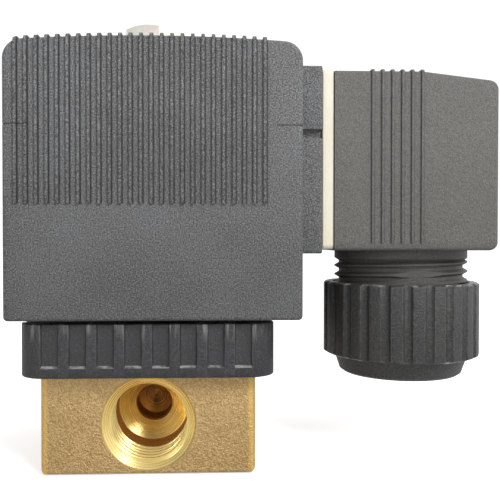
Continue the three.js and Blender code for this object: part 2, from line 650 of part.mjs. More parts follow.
fit('coil_housing', coilHousing(), MATERIALS.coilPlastic);
fit('coil_seal_lower', coilSealLower(), MATERIALS.blackRubber);
fit('coil_seal_upper', coilSealUpper(), MATERIALS.blackRubber);
fit('magnet_yoke', magnetYoke(), MATERIALS.plainSteel);
fit('yoke_top_plate', yokeTopPlate(), MATERIALS.plainSteel);
fit('coil_bobbin', coilBobbin(), MATERIALS.nylon);
fit('coil_winding', coilWinding(), MATERIALS.copper);
fit('contact_blade_a', blade(CONTACTS.a), MATERIALS.stainless);
fit('contact_blade_b', blade(CONTACTS.b), MATERIALS.stainless);
fit('earth_blade', blade(CONTACTS.earth), MATERIALS.stainless);
fit('screw_bush', screwBush(), MATERIALS.brass);

fit('coil_washer', coilWasher(), MATERIALS.zincYellow);
fit('coil_nut', coilNut(), MATERIALS.zincYellow);

fit('profile_gasket', profileGasket(), MATERIALS.gasketRubber);
fit('plug_housing', plugHousing(), MATERIALS.plugPlastic);
fit('contact_carrier', contactCarrier(), MATERIALS.carrierPlastic);
for (const [name, place] of Object.entries(CONTACTS)) {
  fit(`plug_contact_${name}`, plugContact(place), MATERIALS.brass);
  fit(`terminal_screw_${name}`, terminalScrew(place), MATERIALS.zincYellow);
}
fit('plug_fixing_screw', plugFixingScrew(), MATERIALS.zincYellow);
fit('screw_seal', screwSeal(), MATERIALS.blackRubber);

fit('cable_grommet', cableGrommet(), MATERIALS.blackRubber);
fit('thrust_ring', thrustRing(), MATERIALS.nylon);
fit('gland_nut', glandNut(), MATERIALS.collarPlastic);

export default valve;
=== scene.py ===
# %% [markdown]
# # A solenoid valve, piece by piece
# A small electric valve: a brass block with two threaded ports, a black ribbed collar, a moulded
# coil clamped by a nut on a stud, and a square plug with a cable gland. The CAD frame gives every
# place and size. Here each visible piece is modelled again with the detail that a mould, a lathe
# or a tap leaves, and every piece gets a finish of its own.

# %% Load the frame
import json
import math

import bmesh
import bpy
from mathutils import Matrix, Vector


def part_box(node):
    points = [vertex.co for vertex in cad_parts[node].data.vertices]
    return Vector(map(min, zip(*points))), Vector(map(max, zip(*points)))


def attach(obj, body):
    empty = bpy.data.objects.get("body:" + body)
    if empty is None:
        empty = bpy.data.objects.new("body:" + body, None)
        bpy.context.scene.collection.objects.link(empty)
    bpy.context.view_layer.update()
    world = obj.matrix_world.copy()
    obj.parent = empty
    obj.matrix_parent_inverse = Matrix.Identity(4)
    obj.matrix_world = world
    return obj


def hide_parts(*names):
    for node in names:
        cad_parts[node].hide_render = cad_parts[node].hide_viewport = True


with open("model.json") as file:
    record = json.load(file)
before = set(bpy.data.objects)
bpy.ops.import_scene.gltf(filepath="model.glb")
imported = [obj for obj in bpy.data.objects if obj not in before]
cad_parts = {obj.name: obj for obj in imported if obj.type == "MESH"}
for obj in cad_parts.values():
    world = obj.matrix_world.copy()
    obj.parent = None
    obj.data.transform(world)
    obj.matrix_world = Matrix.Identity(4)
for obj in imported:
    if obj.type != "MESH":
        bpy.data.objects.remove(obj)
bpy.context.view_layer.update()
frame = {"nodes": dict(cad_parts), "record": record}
nodes = frame["nodes"]
MM = 0.001

# %% [markdown]
# ## Camera
# The camera comes first, because every later judgement is made through it. It stands close, so
# the near faces look larger than the far ones, level with the middle of the valve and turned a
# little to the plug.

# %% Camera
EYE = Vector((7.78, -114.52, 34.8)) * MM
EYE_YAW, EYE_PITCH = math.radians(2.12), math.radians(-0.85)
LENS, SENSOR = 47.65, 36.0
SHIFT_X = 0.0498


def make_camera():
    data = bpy.data.cameras.new("camera")
    data.lens, data.sensor_width = LENS, SENSOR
    data.shift_x = SHIFT_X
    data.clip_start, data.clip_end = 0.01, 10.0
    camera = bpy.data.objects.new("camera", data)
    camera.location = EYE
    camera.rotation_euler = (math.radians(90) + EYE_PITCH, 0, -EYE_YAW)
    bpy.context.scene.collection.objects.link(camera)
    bpy.context.scene.camera = camera


make_camera()
print("camera at", [round(v / MM, 1) for v in EYE], "mm, lens", LENS, "mm")

# %% [markdown]
# ## Working by hand, in code
# Every operator acts on what is selected, so each helper starts from nothing selected. Sizes are
# given in millimetres and turned into metres at the last moment. `block` starts from a cube,
# `lathe` from a circle that is extruded and scaled up its profile, ring by ring, as a turner
# would draw it. A cutter reaches `OVER` past the surface that it opens, and places closer than
# `TOUCH` count as one.

# %% Selecting and placing
OVER, TOUCH = 1.0, 0.01


def deselect():
    """Leaves edit mode and lets go of everything, the frame's nodes too."""
    if bpy.context.mode != "OBJECT":
        bpy.ops.object.mode_set(mode="OBJECT")
    bpy.ops.object.select_all(action="DESELECT")


def only(piece):
    """Selects one piece and makes it active."""
    deselect()
    piece.select_set(True)
    bpy.context.view_layer.objects.active = piece
    return piece


def settle(piece):
    """Writes a piece's place, turn and size into its mesh."""
    only(piece)
    bpy.ops.object.transform_apply(location=True, rotation=True, scale=True)
    return piece


def moved(piece, offset=(0, 0, 0), turn=(0, 0, 0)):
    """Turns a piece about the origin, in degrees, then shifts it, in mm."""
    piece.rotation_euler = [math.radians(angle) for angle in turn]
    piece.location = Vector(offset) * MM
    return settle(piece)


def copy_of(piece, name):
    twin = piece.copy()
    twin.data = piece.data.copy()
    twin.name = name
    bpy.context.scene.collection.objects.link(twin)
    return twin


def span(node):
    """A CAD node's lowest and highest corner, in mm."""
    low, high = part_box(node)
    return low / MM, high / MM


def open_mesh(piece, action="SELECT"):
    """Opens a piece for editing, with all of its mesh selected, or none of it."""
    only(piece)
    bpy.ops.object.mode_set(mode="EDIT")
    bpy.ops.mesh.select_all(action=action)


def close_mesh(piece):
    bpy.ops.object.mode_set(mode="OBJECT")
    return piece


def tidy(piece):
    """Merges doubles and turns every face outwards."""
    open_mesh(piece)
    bpy.ops.mesh.remove_doubles(threshold=1e-7)
    bpy.ops.mesh.normals_make_consistent(inside=False)
    return close_mesh(piece)


def applied(piece, modifier):
    only(piece)
    bpy.ops.object.modifier_apply(modifier=modifier.name)
    return piece


# %% Blocks and rounded edges
STRAIGHT = 0.9


def block(name, low, high):
    """A cube primitive stretched between two corners in mm."""
    deselect()
    low, high = Vector(low), Vector(high)
    bpy.ops.mesh.primitive_cube_add(size=1, location=(low + high) / 2 * MM)
    piece = bpy.context.object
    piece.name = name
    piece.scale = (high - low) * MM
    return settle(piece)


def upright(middle, way):
    return abs(way.z) > STRAIGHT


def along_x(middle, way):
    return abs(way.x) > STRAIGHT


def along_y(middle, way):
    return abs(way.y) > STRAIGHT


def round_edges(piece, wanted, radius, segments=6):
    """Bevels the edges for which wanted(middle, direction) is true, both in mm."""
    open_mesh(piece, "DESELECT")
    bpy.ops.mesh.select_mode(type="EDGE")
    mesh = bmesh.from_edit_mesh(piece.data)
    for edge in mesh.edges:
        start, end = (vertex.co / MM for vertex in edge.verts)
        edge.select_set(bool(wanted((start + end) / 2, (end - start).normalized())))
    bmesh.update_edit_mesh(piece.data)
    bpy.ops.mesh.bevel(offset=radius * MM, segments=segments, affect="EDGES", clamp_overlap=False)
    return close_mesh(piece)


# %% Turned pieces and threads


def lathe(name, profile, steps=96, ring=False):
    """A body turned about Z from (radius, height) points in mm: solid, or a ring of that section."""
    deselect()
    radius, height = profile[0]
    bpy.ops.mesh.primitive_circle_add(vertices=steps, radius=radius * MM, location=(0, 0, height * MM))
    piece = bpy.context.object
    piece.name = name
    open_mesh(settle(piece))
    if not ring:
        bpy.ops.mesh.edge_face_add()
    for next_radius, next_height in profile[1:]:
        rise = {"value": (0, 0, (next_height - height) * MM)}
        bpy.ops.mesh.extrude_region_move(TRANSFORM_OT_translate=rise)
        factor = next_radius / radius
        bpy.ops.transform.resize(value=(factor, factor, 1), center_override=(0, 0, next_height * MM))
        radius, height = next_radius, next_height
    if ring:
        mesh = bmesh.from_edit_mesh(piece.data)
        for edge in mesh.edges:
            edge.select_set(edge.is_boundary)
        bmesh.update_edit_mesh(piece.data)
        bpy.ops.mesh.bridge_edge_loops()
    return tidy(close_mesh(piece))


def thread_bar(name, root, crest, pitch, low, high, steps=40):
    """A helical bar with a thread's section, which is cut from a hole or added to a stud."""
    deselect()
    bpy.ops.mesh.primitive_plane_add(size=1)
    piece = bpy.context.object
    piece.name = name
    # The plane's corners run 0, 1, 3, 2 round its rim.
    section = {0: (root, 0.04), 1: (crest, 0.40), 3: (crest, 0.56), 2: (root, 0.92)}
    for index, (radius, share) in section.items():
        piece.data.vertices[index].co = Vector((radius, 0, low + share * pitch)) * MM
    screw = piece.modifiers.new("screw", "SCREW")
    screw.axis = "Z"
    turns = max(1, round((high - low) / pitch))
    screw.angle = 2 * math.pi * turns
    screw.screw_offset = pitch * turns * MM
    screw.steps = screw.render_steps = steps * turns
    screw.use_smooth_shade = False
    open_mesh(applied(piece, screw))
    bpy.ops.mesh.fill_holes(sides=4)
    return tidy(close_mesh(piece))


# %% Joining, cutting and finishing
NEW_PIECES = []


def combine(piece, operation, tools):
    """Joins or cuts a piece with tools, which are used up."""
    for tool in tools:
        modifier = piece.modifiers.new(operation, "BOOLEAN")
        modifier.operation, modifier.solver, modifier.object = operation, "EXACT", tool
        applied(piece, modifier)
        bpy.data.objects.remove(tool)
    return piece


def cut(piece, *tools):
    return combine(piece, "DIFFERENCE", tools)


def weld(piece, *parts):
    return combine(piece, "UNION", parts)


def gathered(name, pieces):
    """Several pieces that don't touch, as one object."""
    deselect()
    for piece in pieces:
        piece.select_set(True)
    bpy.context.view_layer.objects.active = pieces[0]
    bpy.ops.object.join()
    pieces[0].name = name
    return pieces[0]


def sliced(piece, point, normal):
    """Cuts a closed piece with a plane, throws away the side that the normal points to, and caps it."""
    open_mesh(piece)
    bpy.ops.mesh.bisect(
        plane_co=Vector(point) * MM, plane_no=normal, use_fill=True, clear_outer=True, threshold=1e-7
    )
    return close_mesh(piece)


def soften(piece, width, segments=2, angle=35):
    """A small radius on every sharp edge, as a mould or a file leaves."""
    modifier = piece.modifiers.new("soften", "BEVEL")
    modifier.width, modifier.segments = width * MM, segments
    modifier.limit_method, modifier.angle_limit = "ANGLE", math.radians(angle)
    return applied(piece, modifier)


def hand_over(piece, body, slot, node, smooth_angle=32):
    """Shades a finished piece, puts it on its body and lets it stand for its CAD node."""
    only(piece)
    bpy.ops.object.shade_smooth_by_angle(angle=math.radians(smooth_angle))
    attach(piece, body)
    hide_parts(node)
    NEW_PIECES.append((piece, slot))
    low, high = (Vector(corner) for corner in (piece.bound_box[0], piece.bound_box[6]))
    size = [round(v / MM, 2) for v in high - low]
    print(f"{piece.name}: {len(piece.data.polygons)} faces, {size} mm")


# %% [markdown]
# ## The brass body
# It starts as a sawn square bar, tumbled until its faces are matte. The ports are drilled,
# countersunk and tapped, so the holes are cut the same way here: first a turned tool of the
# drill's own shape, then a helical bar that leaves the thread.

# %% Brass body
PORT_Z = 7.5
PORT_MOUTH, PORT_CREST, PORT_ROOT, PORT_PITCH = 7.0, 5.72, 6.5, 1.337
THREAD_BITE, THREAD_START = 0.15, -1.2
DRILL_POINT = math.tan(math.radians(59))
FRONT_DRILL, FRONT_BORE_R, FRONT_BORE_END, FRONT_THREAD = 11.4, 3.0, 20.0, 7.4
REAR_DRILL, REAR_THREAD = 7.2, 6.0
APEX = 0.02
SCREW_AT, BASE_HOLE_AT, RISER_Y = 12.5, 11.5, 7.2
SHOULDER, NECK_HALF = 14.6, 15.7
BODY_R, BODY_FOOT_R, BODY_NECK_R = 0.9, 0.25, 1.0
# Turned hollows, as (radius, height).
CHAMBER = [(4.0, 14.3), (8.0, 14.3), (8.0, 17.0), (4.0, 17.0)]
ORING_GROOVE = [(9.0, 15.0), (10.4, 15.0), (10.4, 17.0), (9.0, 17.0)]
ABOVE_SEAT = [(4.05, 15.4), (4.05, 17.0)]
SEAT_BORE = [(2.5, PORT_Z + 0.2), (2.5, 15.0), (3.0, 15.5)]
RISER = [(1.6, PORT_Z), (1.6, 14.6)]
SCREW_HOLE = [(2.1, 7.6), (2.1, 17.0)]
BASE_HOLE = [(2.4, -0.5), (1.65, 0.35), (1.65, 5.4), (APEX, 6.0)]


def port_tool(name, drill_end, bore_end=0):
    """The turned hole, mouth at z = 0: countersink, tapping drill and the small bore past it."""
    chamfer = PORT_MOUTH - PORT_CREST
    profile = [(PORT_MOUTH + OVER, -OVER), (PORT_CREST, chamfer), (PORT_CREST, drill_end)]
    if bore_end:
        cone = (PORT_CREST - FRONT_BORE_R) / DRILL_POINT
        tip = FRONT_BORE_R / DRILL_POINT
        profile += [(FRONT_BORE_R, drill_end + cone), (FRONT_BORE_R, bore_end - tip), (APEX, bore_end)]
    else:
        profile.append((APEX, drill_end + PORT_CREST / DRILL_POINT))
    return lathe(name, profile)


def port_thread(name, length):
    return thread_bar(name, PORT_CREST - THREAD_BITE, PORT_ROOT, PORT_PITCH, THREAD_START, length)


def at_screws(profile, steps):
    """The same turned hole at each of the four collar screws."""
    places = [(x, y, 0) for x in (-SCREW_AT, SCREW_AT) for y in (-SCREW_AT, SCREW_AT)]
    return [moved(lathe("screw_hole", profile, steps), place) for place in places]


def make_brass_body():
    low, high = span("valve_body")
    body = block("brass_body", low, (high.x, high.y, SHOULDER))

    def upright_or_side_foot(middle, way):
        return upright(middle, way) or middle.z < low.z + TOUCH and along_y(middle, way)

    def end_foot(middle, way):
        return middle.z < low.z + TOUCH and along_x(middle, way)

    round_edges(body, upright_or_side_foot, BODY_R, 5)
    round_edges(body, end_foot, BODY_FOOT_R, 3)
    neck = block("neck", (-NECK_HALF, -NECK_HALF, SHOULDER - OVER), (NECK_HALF, NECK_HALF, high.z))
    weld(body, round_edges(neck, upright, BODY_NECK_R, 5))
    front, rear = ((0, low.y, PORT_Z), (-90, 0, 0)), ((0, high.y, PORT_Z), (90, 0, 0))
    ports = [
        moved(port_tool("front_tool", FRONT_DRILL, FRONT_BORE_END), *front),
        moved(port_tool("rear_tool", REAR_DRILL), *rear),
        moved(port_thread("front_thread", FRONT_THREAD), *front),
        moved(port_thread("rear_thread", REAR_THREAD), *rear),
    ]
    hollows = [
        lathe("chamber", CHAMBER, 64, ring=True),
        lathe("groove", ORING_GROOVE, 64, ring=True),
        lathe("above_seat", ABOVE_SEAT, 48),
        lathe("seat_bore", SEAT_BORE, 48),
        moved(lathe("riser", RISER, 32), (0, RISER_Y, 0)),
    ]
    holes = at_screws(SCREW_HOLE, 24)
    for x in (-BASE_HOLE_AT, BASE_HOLE_AT):
        holes.append(moved(lathe("base_hole", BASE_HOLE, 32), (x, 0, 0)))
    cut(body, *ports, *hollows, gathered("holes", holes))
    hand_over(body, "valve", "brass_body", "valve_body", smooth_angle=30)


make_brass_body()

# %% [markdown]
# ## The ribbed collar
# A glossy black moulding that clamps the guide tube's flange. Shallow panels are sunk in its four
# sides so that fingers or pliers can hold it. One cutter is made, copied along each side, and the
# set is turned to the other three sides.

# %% Ribbed collar
COLLAR_CORNER, COLLAR_EDGE, COLLAR_POCKET, COLLAR_ROOF, TUBE_HOLE_R = 4.0, 0.22, 16.0, 18.1, 6.8
SCREW_CLEAR, HEAD_CLEAR, HEAD_SEAT = 2.2, 3.7, 19.6
PANELS, PANEL_PITCH, PANEL_WIDTH, PANEL_DEPTH, PANEL_FOOT = 8, 4.0, 2.4, 0.5, 1.6


def collar_panels(low, high):
    """The cutters of all the sunk panels, as one object."""
    tools = []
    for side in range(4):
        for i in range(PANELS):
            middle = (i - (PANELS - 1) / 2) * PANEL_PITCH
            tool = block(
                "panel", (middle - PANEL_WIDTH / 2, low.y - OVER, low.z + PANEL_FOOT),
                (middle + PANEL_WIDTH / 2, low.y + PANEL_DEPTH, high.z + OVER),
            )
            tools.append(moved(tool, turn=(0, 0, 90 * side)))
    return gathered("panels", tools)


def make_collar():
    low, high = span("flange_collar")
    collar = block("ribbed_collar", low, high)
    round_edges(collar, upright, COLLAR_CORNER, 10)
    half = COLLAR_POCKET
    pocket = block("pocket", (-half, -half, low.z - OVER), (half, half, COLLAR_ROOF))
    under, top = COLLAR_ROOF - OVER, high.z + OVER
    centre_hole = lathe("centre_hole", [(TUBE_HOLE_R, under), (TUBE_HOLE_R, top)], 64)
    recess = [(SCREW_CLEAR, under), (SCREW_CLEAR, HEAD_SEAT), (HEAD_CLEAR, HEAD_SEAT), (HEAD_CLEAR, top)]
    holes = at_screws(recess, 32)
    cut(collar, collar_panels(low, high))
    # The small radius leaves doubled points, and the cuts that follow need a closed mesh.
    tidy(soften(collar, COLLAR_EDGE, 3))
    cut(collar, pocket, centre_hole, *holes)
    hand_over(collar, "valve", "collar_plastic", "flange_collar")


make_collar()

# %% [markdown]
# ## The coil's moulding
# The winding is cast into a block of filled plastic with round corners and a slightly crowned
# top. Fine ribs run up its front, over the top and down the back. Each rib is a thin slice of the
# same form made a little fatter, so it follows the rounded edges without any fitting.

# %% Coil form
COIL_CROWN, SHOULDER_R, FRONT_R, COIL_FOOT_R = 0.8, 2.6, 0.8, 0.6
COIL_LEFT, COIL_RIGHT, COIL_HALF, COIL_TOP = -20.4, 22.6, 19.8, 63.3
CROWN_CUTS, PLUMB = 12, 0.999


def coil_form(name, margin):
    """The coil's outer form, fatter by a margin on its front, back and top."""
    bottom = span("coil_housing")[0].z
    low = Vector((COIL_LEFT, -COIL_HALF - margin, bottom))
    high = Vector((COIL_RIGHT, COIL_HALF + margin, COIL_TOP + margin))
    form = block(name, low, high)
    open_mesh(form)
    for i in range(1, CROWN_CUTS):
        x = low.x + (high.x - low.x) * i / CROWN_CUTS
        bpy.ops.mesh.select_all(action="SELECT")
        bpy.ops.mesh.bisect(plane_co=(x * MM, 0, 0), plane_no=(1, 0, 0))
    mesh = bmesh.from_edit_mesh(form.data)
    half = (high.x - low.x) / 2
    for vertex in mesh.verts:
        if vertex.co.z > (high.z - TOUCH) * MM:
            share = (vertex.co.x / MM - (low.x + high.x) / 2) / half
            vertex.co.z += COIL_CROWN * (1 - share * share) * MM
    bmesh.update_edit_mesh(form.data)
    close_mesh(form)

    def from_end(middle):
        return min(abs(middle.x - low.x), abs(middle.x - high.x))

    def shoulder(middle, way):
        return from_end(middle) < TOUCH and middle.z > high.z - TOUCH and along_y(middle, way)

    def front_or_back(middle, way):
        on_face = abs(abs(middle.y) - high.y) < TOUCH and middle.z > bottom + TOUCH
        return on_face and (abs(way.z) < PLUMB or from_end(middle) < TOUCH)

    def foot(middle, way):
        on_rim = high.y - abs(middle.y) < FRONT_R or from_end(middle) < FRONT_R
        return middle.z < bottom + TOUCH and on_rim

    round_edges(form, shoulder, SHOULDER_R, 10)
    round_edges(form, front_or_back, FRONT_R, 4)
    return round_edges(form, foot, COIL_FOOT_R, 4)


# %% Ribs
RIBS, RIB_PITCH, RIB_CENTRE, RIB_FOOT = 25, 1.477, -0.7, 40.0
RIB_WIDTH, RIB_HEIGHT, RIB_EDGE = 0.5, 0.3, 0.16
RIB_MIDDLES = [RIB_CENTRE + (i - (RIBS - 1) / 2) * RIB_PITCH for i in range(RIBS)]


def rib_slices(fat, foot, middles, width, edge):
    """Thin slices across X of a fatter form above a height, as one object; the form is used up."""
    sliced(fat, (0, 0, foot), (0, 0, -1))
    bars = []
    for middle in middles:
        bar = copy_of(fat, "rib")
        sliced(bar, (middle + width / 2, 0, 0), (1, 0, 0))
        sliced(bar, (middle - width / 2, 0, 0), (-1, 0, 0))
        bars.append(bar)
    bpy.data.objects.remove(fat)
    return soften(gathered("ribs", bars), edge, 2, 60)


print("ribs:", RIBS, "at", RIB_PITCH, "mm")

# %% [markdown]
# The block for the plug stands out of the coil's side. A shallow line runs round it and on into
# the coil where the two halves of the mould met. Inside, the same hollows are cut as in the real
# moulding: the bore for the tube, the space for the winding and the slots for the blades.

# %% Coil moulding
BASE_HALF, BASE_LOW, BASE_HIGH, BASE_END, BASE_EDGE, BASE_SOFT = 14.0, 32.75, 61.45, 26.4, 0.5, 0.18
PARTING_Z, PARTING_WIDTH, PARTING_DEPTH, PARTING_REACH = 51.3, 0.16, 0.14, 3.9
NOTCH_LOW, NOTCH_HIGH, NOTCH_DEPTH = 50.4, 51.7, 1.0
PLUG_AXIS_Z, BLADE_AT, BLADE_WIDTH, BLADE_THICK, GAP = 47.0, 9.0, 6.3, 0.8, 0.3
BORE_R, SEAL_R, SEAL_DEPTH = 7.0, 9.3, 1.2
CAVITY = (-17.3, -15.3, 25.2), (17.3, 15.3, 60.8)
SLOTS_FROM, SLOTS_TO = 16.3, 27.4
BUSH_HOLE = [(2.55, 20.2), (2.55, 27.5)]
# Each blade's place in Y, its rise above the plug's axis, and whether it lies flat.
CONTACTS = [(-BLADE_AT, 0, False), (BLADE_AT, 0, False), (0, -BLADE_AT, True)]


def blade_slots(x0, x1):
    """A slot along X for each blade, wide in Z, or in Y where the blade lies flat."""
    slots = []
    wide, thin = (BLADE_WIDTH + 2 * GAP) / 2, (BLADE_THICK + 2 * GAP) / 2
    for y, rise, flat in CONTACTS:
        dy, dz = (wide, thin) if flat else (thin, wide)
        z = PLUG_AXIS_Z + rise
        slots.append(block("slot", (x0, y - dy, z - dz), (x1, y + dy, z + dz)))
    return slots


def on_plug_axis(piece):
    return moved(piece, (0, 0, PLUG_AXIS_Z), (0, 90, 0))


def parting_groove():
    """A thin band between a fatter and a thinner form, at both ends of the coil."""

    def box(name, inset_x, inset_y, half):
        low = (COIL_LEFT + inset_x, -COIL_HALF + inset_y, PARTING_Z - half)
        high = (COIL_RIGHT - inset_x, COIL_HALF - inset_y, PARTING_Z + half)
        return block(name, low, high)

    outer = box("parting", -OVER, -OVER, PARTING_WIDTH / 2)
    middle = box("middle", PARTING_REACH, -2 * OVER, OVER)
    inner = box("inner", PARTING_DEPTH, PARTING_DEPTH, 2 * OVER)
    return cut(outer, middle, round_edges(inner, upright, FRONT_R, 4))


def connector_base():
    base = block("base", (COIL_RIGHT - OVER, -BASE_HALF, BASE_LOW), (BASE_END, BASE_HALF, BASE_HIGH))
    round_edges(base, along_x, BASE_EDGE, 5)
    for y in (-BASE_HALF, BASE_HALF):
        low, high = (COIL_RIGHT, y - NOTCH_DEPTH, NOTCH_LOW), (BASE_END + OVER, y + NOTCH_DEPTH, NOTCH_HIGH)
        cut(base, block("notch", low, high))
    return soften(base, BASE_SOFT, 2)


def make_coil():
    low, high = span("coil_housing")
    coil = coil_form("coil_moulding", 0)
    weld(coil, rib_slices(coil_form("fat_form", RIB_HEIGHT), RIB_FOOT, RIB_MIDDLES, RIB_WIDTH, RIB_EDGE))
    weld(coil, connector_base())
    cut(coil, parting_groove())
    crown, under, above = COIL_TOP + COIL_CROWN, low.z - OVER, high.z + OVER
    bore = lathe("bore", [(BORE_R, under), (BORE_R, above)])
    low_recess = lathe("low_recess", [(SEAL_R, under), (SEAL_R, low.z + SEAL_DEPTH)])
    high_recess = lathe("high_recess", [(SEAL_R, crown - SEAL_DEPTH), (SEAL_R, crown + OVER)])
    bush_hole = on_plug_axis(lathe("bush_hole", BUSH_HOLE, 32))
    cavity = block("cavity", *CAVITY)
    cut(coil, bore, low_recess, high_recess, cavity, *blade_slots(SLOTS_FROM, SLOTS_TO), bush_hole)
    hand_over(coil, "coil", "coil_plastic", "coil_housing")


make_coil()

# %% [markdown]
# ## Nut, washer and stud
# The coil is held by an M6 nut on the stud that ends the fixed core. A nut's corners are turned
# off at thirty degrees, which is a hexagonal bar cut by a cone. The stud has a real helical
# thread, because it shows when the nut is screwed up.

# %% Coil nut, washer and core
NUT_FLATS, NUT_CHAMFER_R, NUT_BORE, NUT_TURN, NUT_SINK = 10.0, 4.85, 3.0, 10.0, 1.5
WASHER_BORE, WASHER_EDGE = 3.3, 0.2
STUD_R, STUD_ROOT, STUD_PITCH, STUD_CHAMFER = 3.0, 2.5, 1.0, 0.7
CORE_R, CORE_EDGE, CORE_SHOULDER = 5.4, 0.2, 62.0
SHADING_IN, SHADING_OUT, SHADING_DEPTH = 3.55, 4.45, 1.15


def hexagon_bar(name, flats, low, high):
    deselect()
    bpy.ops.mesh.primitive_cylinder_add(
        vertices=6, radius=flats / math.sqrt(3) * MM, depth=(high - low) * MM,
        location=(0, 0, (low + high) / 2 * MM),
    )
    piece = bpy.context.object
    piece.name = name
    return moved(settle(piece), turn=(0, 0, NUT_TURN))


def make_coil_nut():
    low, high = (corner.z for corner in span("coil_nut"))
    corner = NUT_FLATS / math.sqrt(3)
    rise = (corner - NUT_CHAMFER_R) * math.tan(math.radians(30))
    cone = lathe(
        "cone", [(NUT_CHAMFER_R, low), (corner, low + rise), (corner, high - rise), (NUT_CHAMFER_R, high)]
    )
    nut = hexagon_bar("coil_nut_turned", NUT_FLATS, low, high)
    combine(nut, "INTERSECT", [cone])
    wide = NUT_BORE + NUT_SINK
    bore = [(wide, low - OVER), (NUT_BORE, low + 0.5), (NUT_BORE, high - 0.5), (wide, high + OVER)]
    soften(cut(nut, lathe("bore", bore)), 0.12, 2, 25)
    hand_over(nut, "coil_nut", "zinc_yellow", "coil_nut", smooth_angle=25)


def make_coil_washer():
    low, high = span("coil_washer")
    outer, edge, bore = high.x, WASHER_EDGE, WASHER_BORE
    washer = lathe(
        "coil_washer_stamped",
        [
            (bore, low.z), (outer - edge, low.z), (outer, low.z + edge), (outer, high.z - 2 * edge),
            (outer - 2 * edge, high.z), (bore + edge, high.z), (bore, high.z - edge),
        ],
        ring=True,
    )
    hand_over(washer, "coil_washer", "zinc_yellow", "coil_washer")


def make_core():
    low, high = (corner.z for corner in span("fixed_core"))
    tip = STUD_R - STUD_CHAMFER
    core = lathe(
        "core_with_stud",
        [
            (CORE_R - CORE_EDGE, low), (CORE_R, low + CORE_EDGE), (CORE_R, CORE_SHOULDER - 2 * CORE_EDGE),
            (CORE_R - 2 * CORE_EDGE, CORE_SHOULDER), (STUD_ROOT, CORE_SHOULDER),
            (STUD_ROOT, high - STUD_CHAMFER * 0.6), (tip, high - 0.08), (tip - 0.1, high),
        ],
    )
    floor, roof = low - OVER, low + SHADING_DEPTH
    groove = [(SHADING_IN, floor), (SHADING_OUT, floor), (SHADING_OUT, roof), (SHADING_IN, roof)]
    cut(core, lathe("ring_groove", groove, 64, ring=True))
    thread = thread_bar("stud_thread", STUD_ROOT - 0.2, STUD_R, STUD_PITCH, CORE_SHOULDER + 0.3, high - 0.6)
    wide = STUD_R + 0.1
    limit = lathe("limit", [(wide, CORE_SHOULDER), (wide, high - STUD_CHAMFER), (tip, high - 0.02)])
    weld(core, combine(thread, "INTERSECT", [limit]))
    hand_over(core, "valve", "stainless", "fixed_core")


make_coil_nut()
make_coil_washer()
make_core()

# %% [markdown]
# ## The plug
# The connector's hood is a square box with its roof sloping to the back, six fine ribs and a
# threaded neck under it. The ribs are slices of a fatter hood, as on the coil. The neck's thread
# is broken by a flat at the front, where the mould opened.

# %% Plug hood
PLUG_SLOPE_X, PLUG_DROP, PLUG_BACK_R, PLUG_SIDE_R, PLUG_WALL = 42.0, 1.4, 1.3, 0.5, 2.0
PLUG_FRONT, PLUG_BACK, PLUG_HALF, PLUG_LOW, PLUG_HIGH = 28.3, 53.9, 13.75, 33.2, 60.8
HOOD_RIBS, HOOD_RIB_FIRST, HOOD_RIB_PITCH, HOOD_RIB_FOOT = 6, 34.2, 1.54, 34.4
HOOD_RIB_WIDTH, HOOD_RIB_HEIGHT, HOOD_RIB_EDGE = 0.4, 0.25, 0.13
HOOD_RIB_MIDDLES = [HOOD_RIB_FIRST + i * HOOD_RIB_PITCH for i in range(HOOD_RIBS)]


def hood_form(name, margin):
    """The hood's outer form, fatter by a margin on its sides and top."""
    half = PLUG_HALF + margin
    form = block(name, (PLUG_FRONT, -half, PLUG_LOW), (PLUG_BACK, half, PLUG_HIGH + margin))
    open_mesh(form)
    bpy.ops.mesh.bisect(plane_co=(PLUG_SLOPE_X * MM, 0, 0), plane_no=(1, 0, 0))
    mesh = bmesh.from_edit_mesh(form.data)
    for vertex in mesh.verts:
        at_back = vertex.co.x > (PLUG_BACK - TOUCH) * MM
        vertex.select_set(at_back and vertex.co.z > (PLUG_HIGH - TOUCH) * MM)
    mesh.select_flush_mode()
    bmesh.update_edit_mesh(form.data)
    bpy.ops.transform.translate(value=(0, 0, -PLUG_DROP * MM))
    close_mesh(form)

    def back_corner(middle, way):
        return middle.x > PLUG_BACK - TOUCH and along_y(middle, way)

    def side_edge(middle, way):
        return abs(abs(middle.y) - half) < TOUCH and middle.x > PLUG_FRONT + TOUCH

    round_edges(form, back_corner, PLUG_BACK_R, 6)
    return round_edges(form, side_edge, PLUG_SIDE_R, 4)


def hood_ribs():
    fat = hood_form("fat_hood", HOOD_RIB_HEIGHT)
    return rib_slices(fat, HOOD_RIB_FOOT, HOOD_RIB_MIDDLES, HOOD_RIB_WIDTH, HOOD_RIB_EDGE)


# %% Neck and hollow
GLAND_X, NECK_R, NECK_ROOT, NECK_PITCH, NECK_LOW, NECK_PLAIN = 42.5, 11.2, 10.45, 1.55, 21.0, 31.3
NECK_FLAT_Y, NECK_FLAT_HALF, NECK_FLAT_TOP = -10.45, 5.2, 30.7
SLEEVE_BORE_R, SLEEVE_TOP, CABLE_BORE_R = 8.0, 28.3, 6.5
SCREW_HOLE_R, RECESS_R, RECESS_X, BOSS_R, BOSS_X = 1.8, 3.3, 50.6, 4.6, 44.5


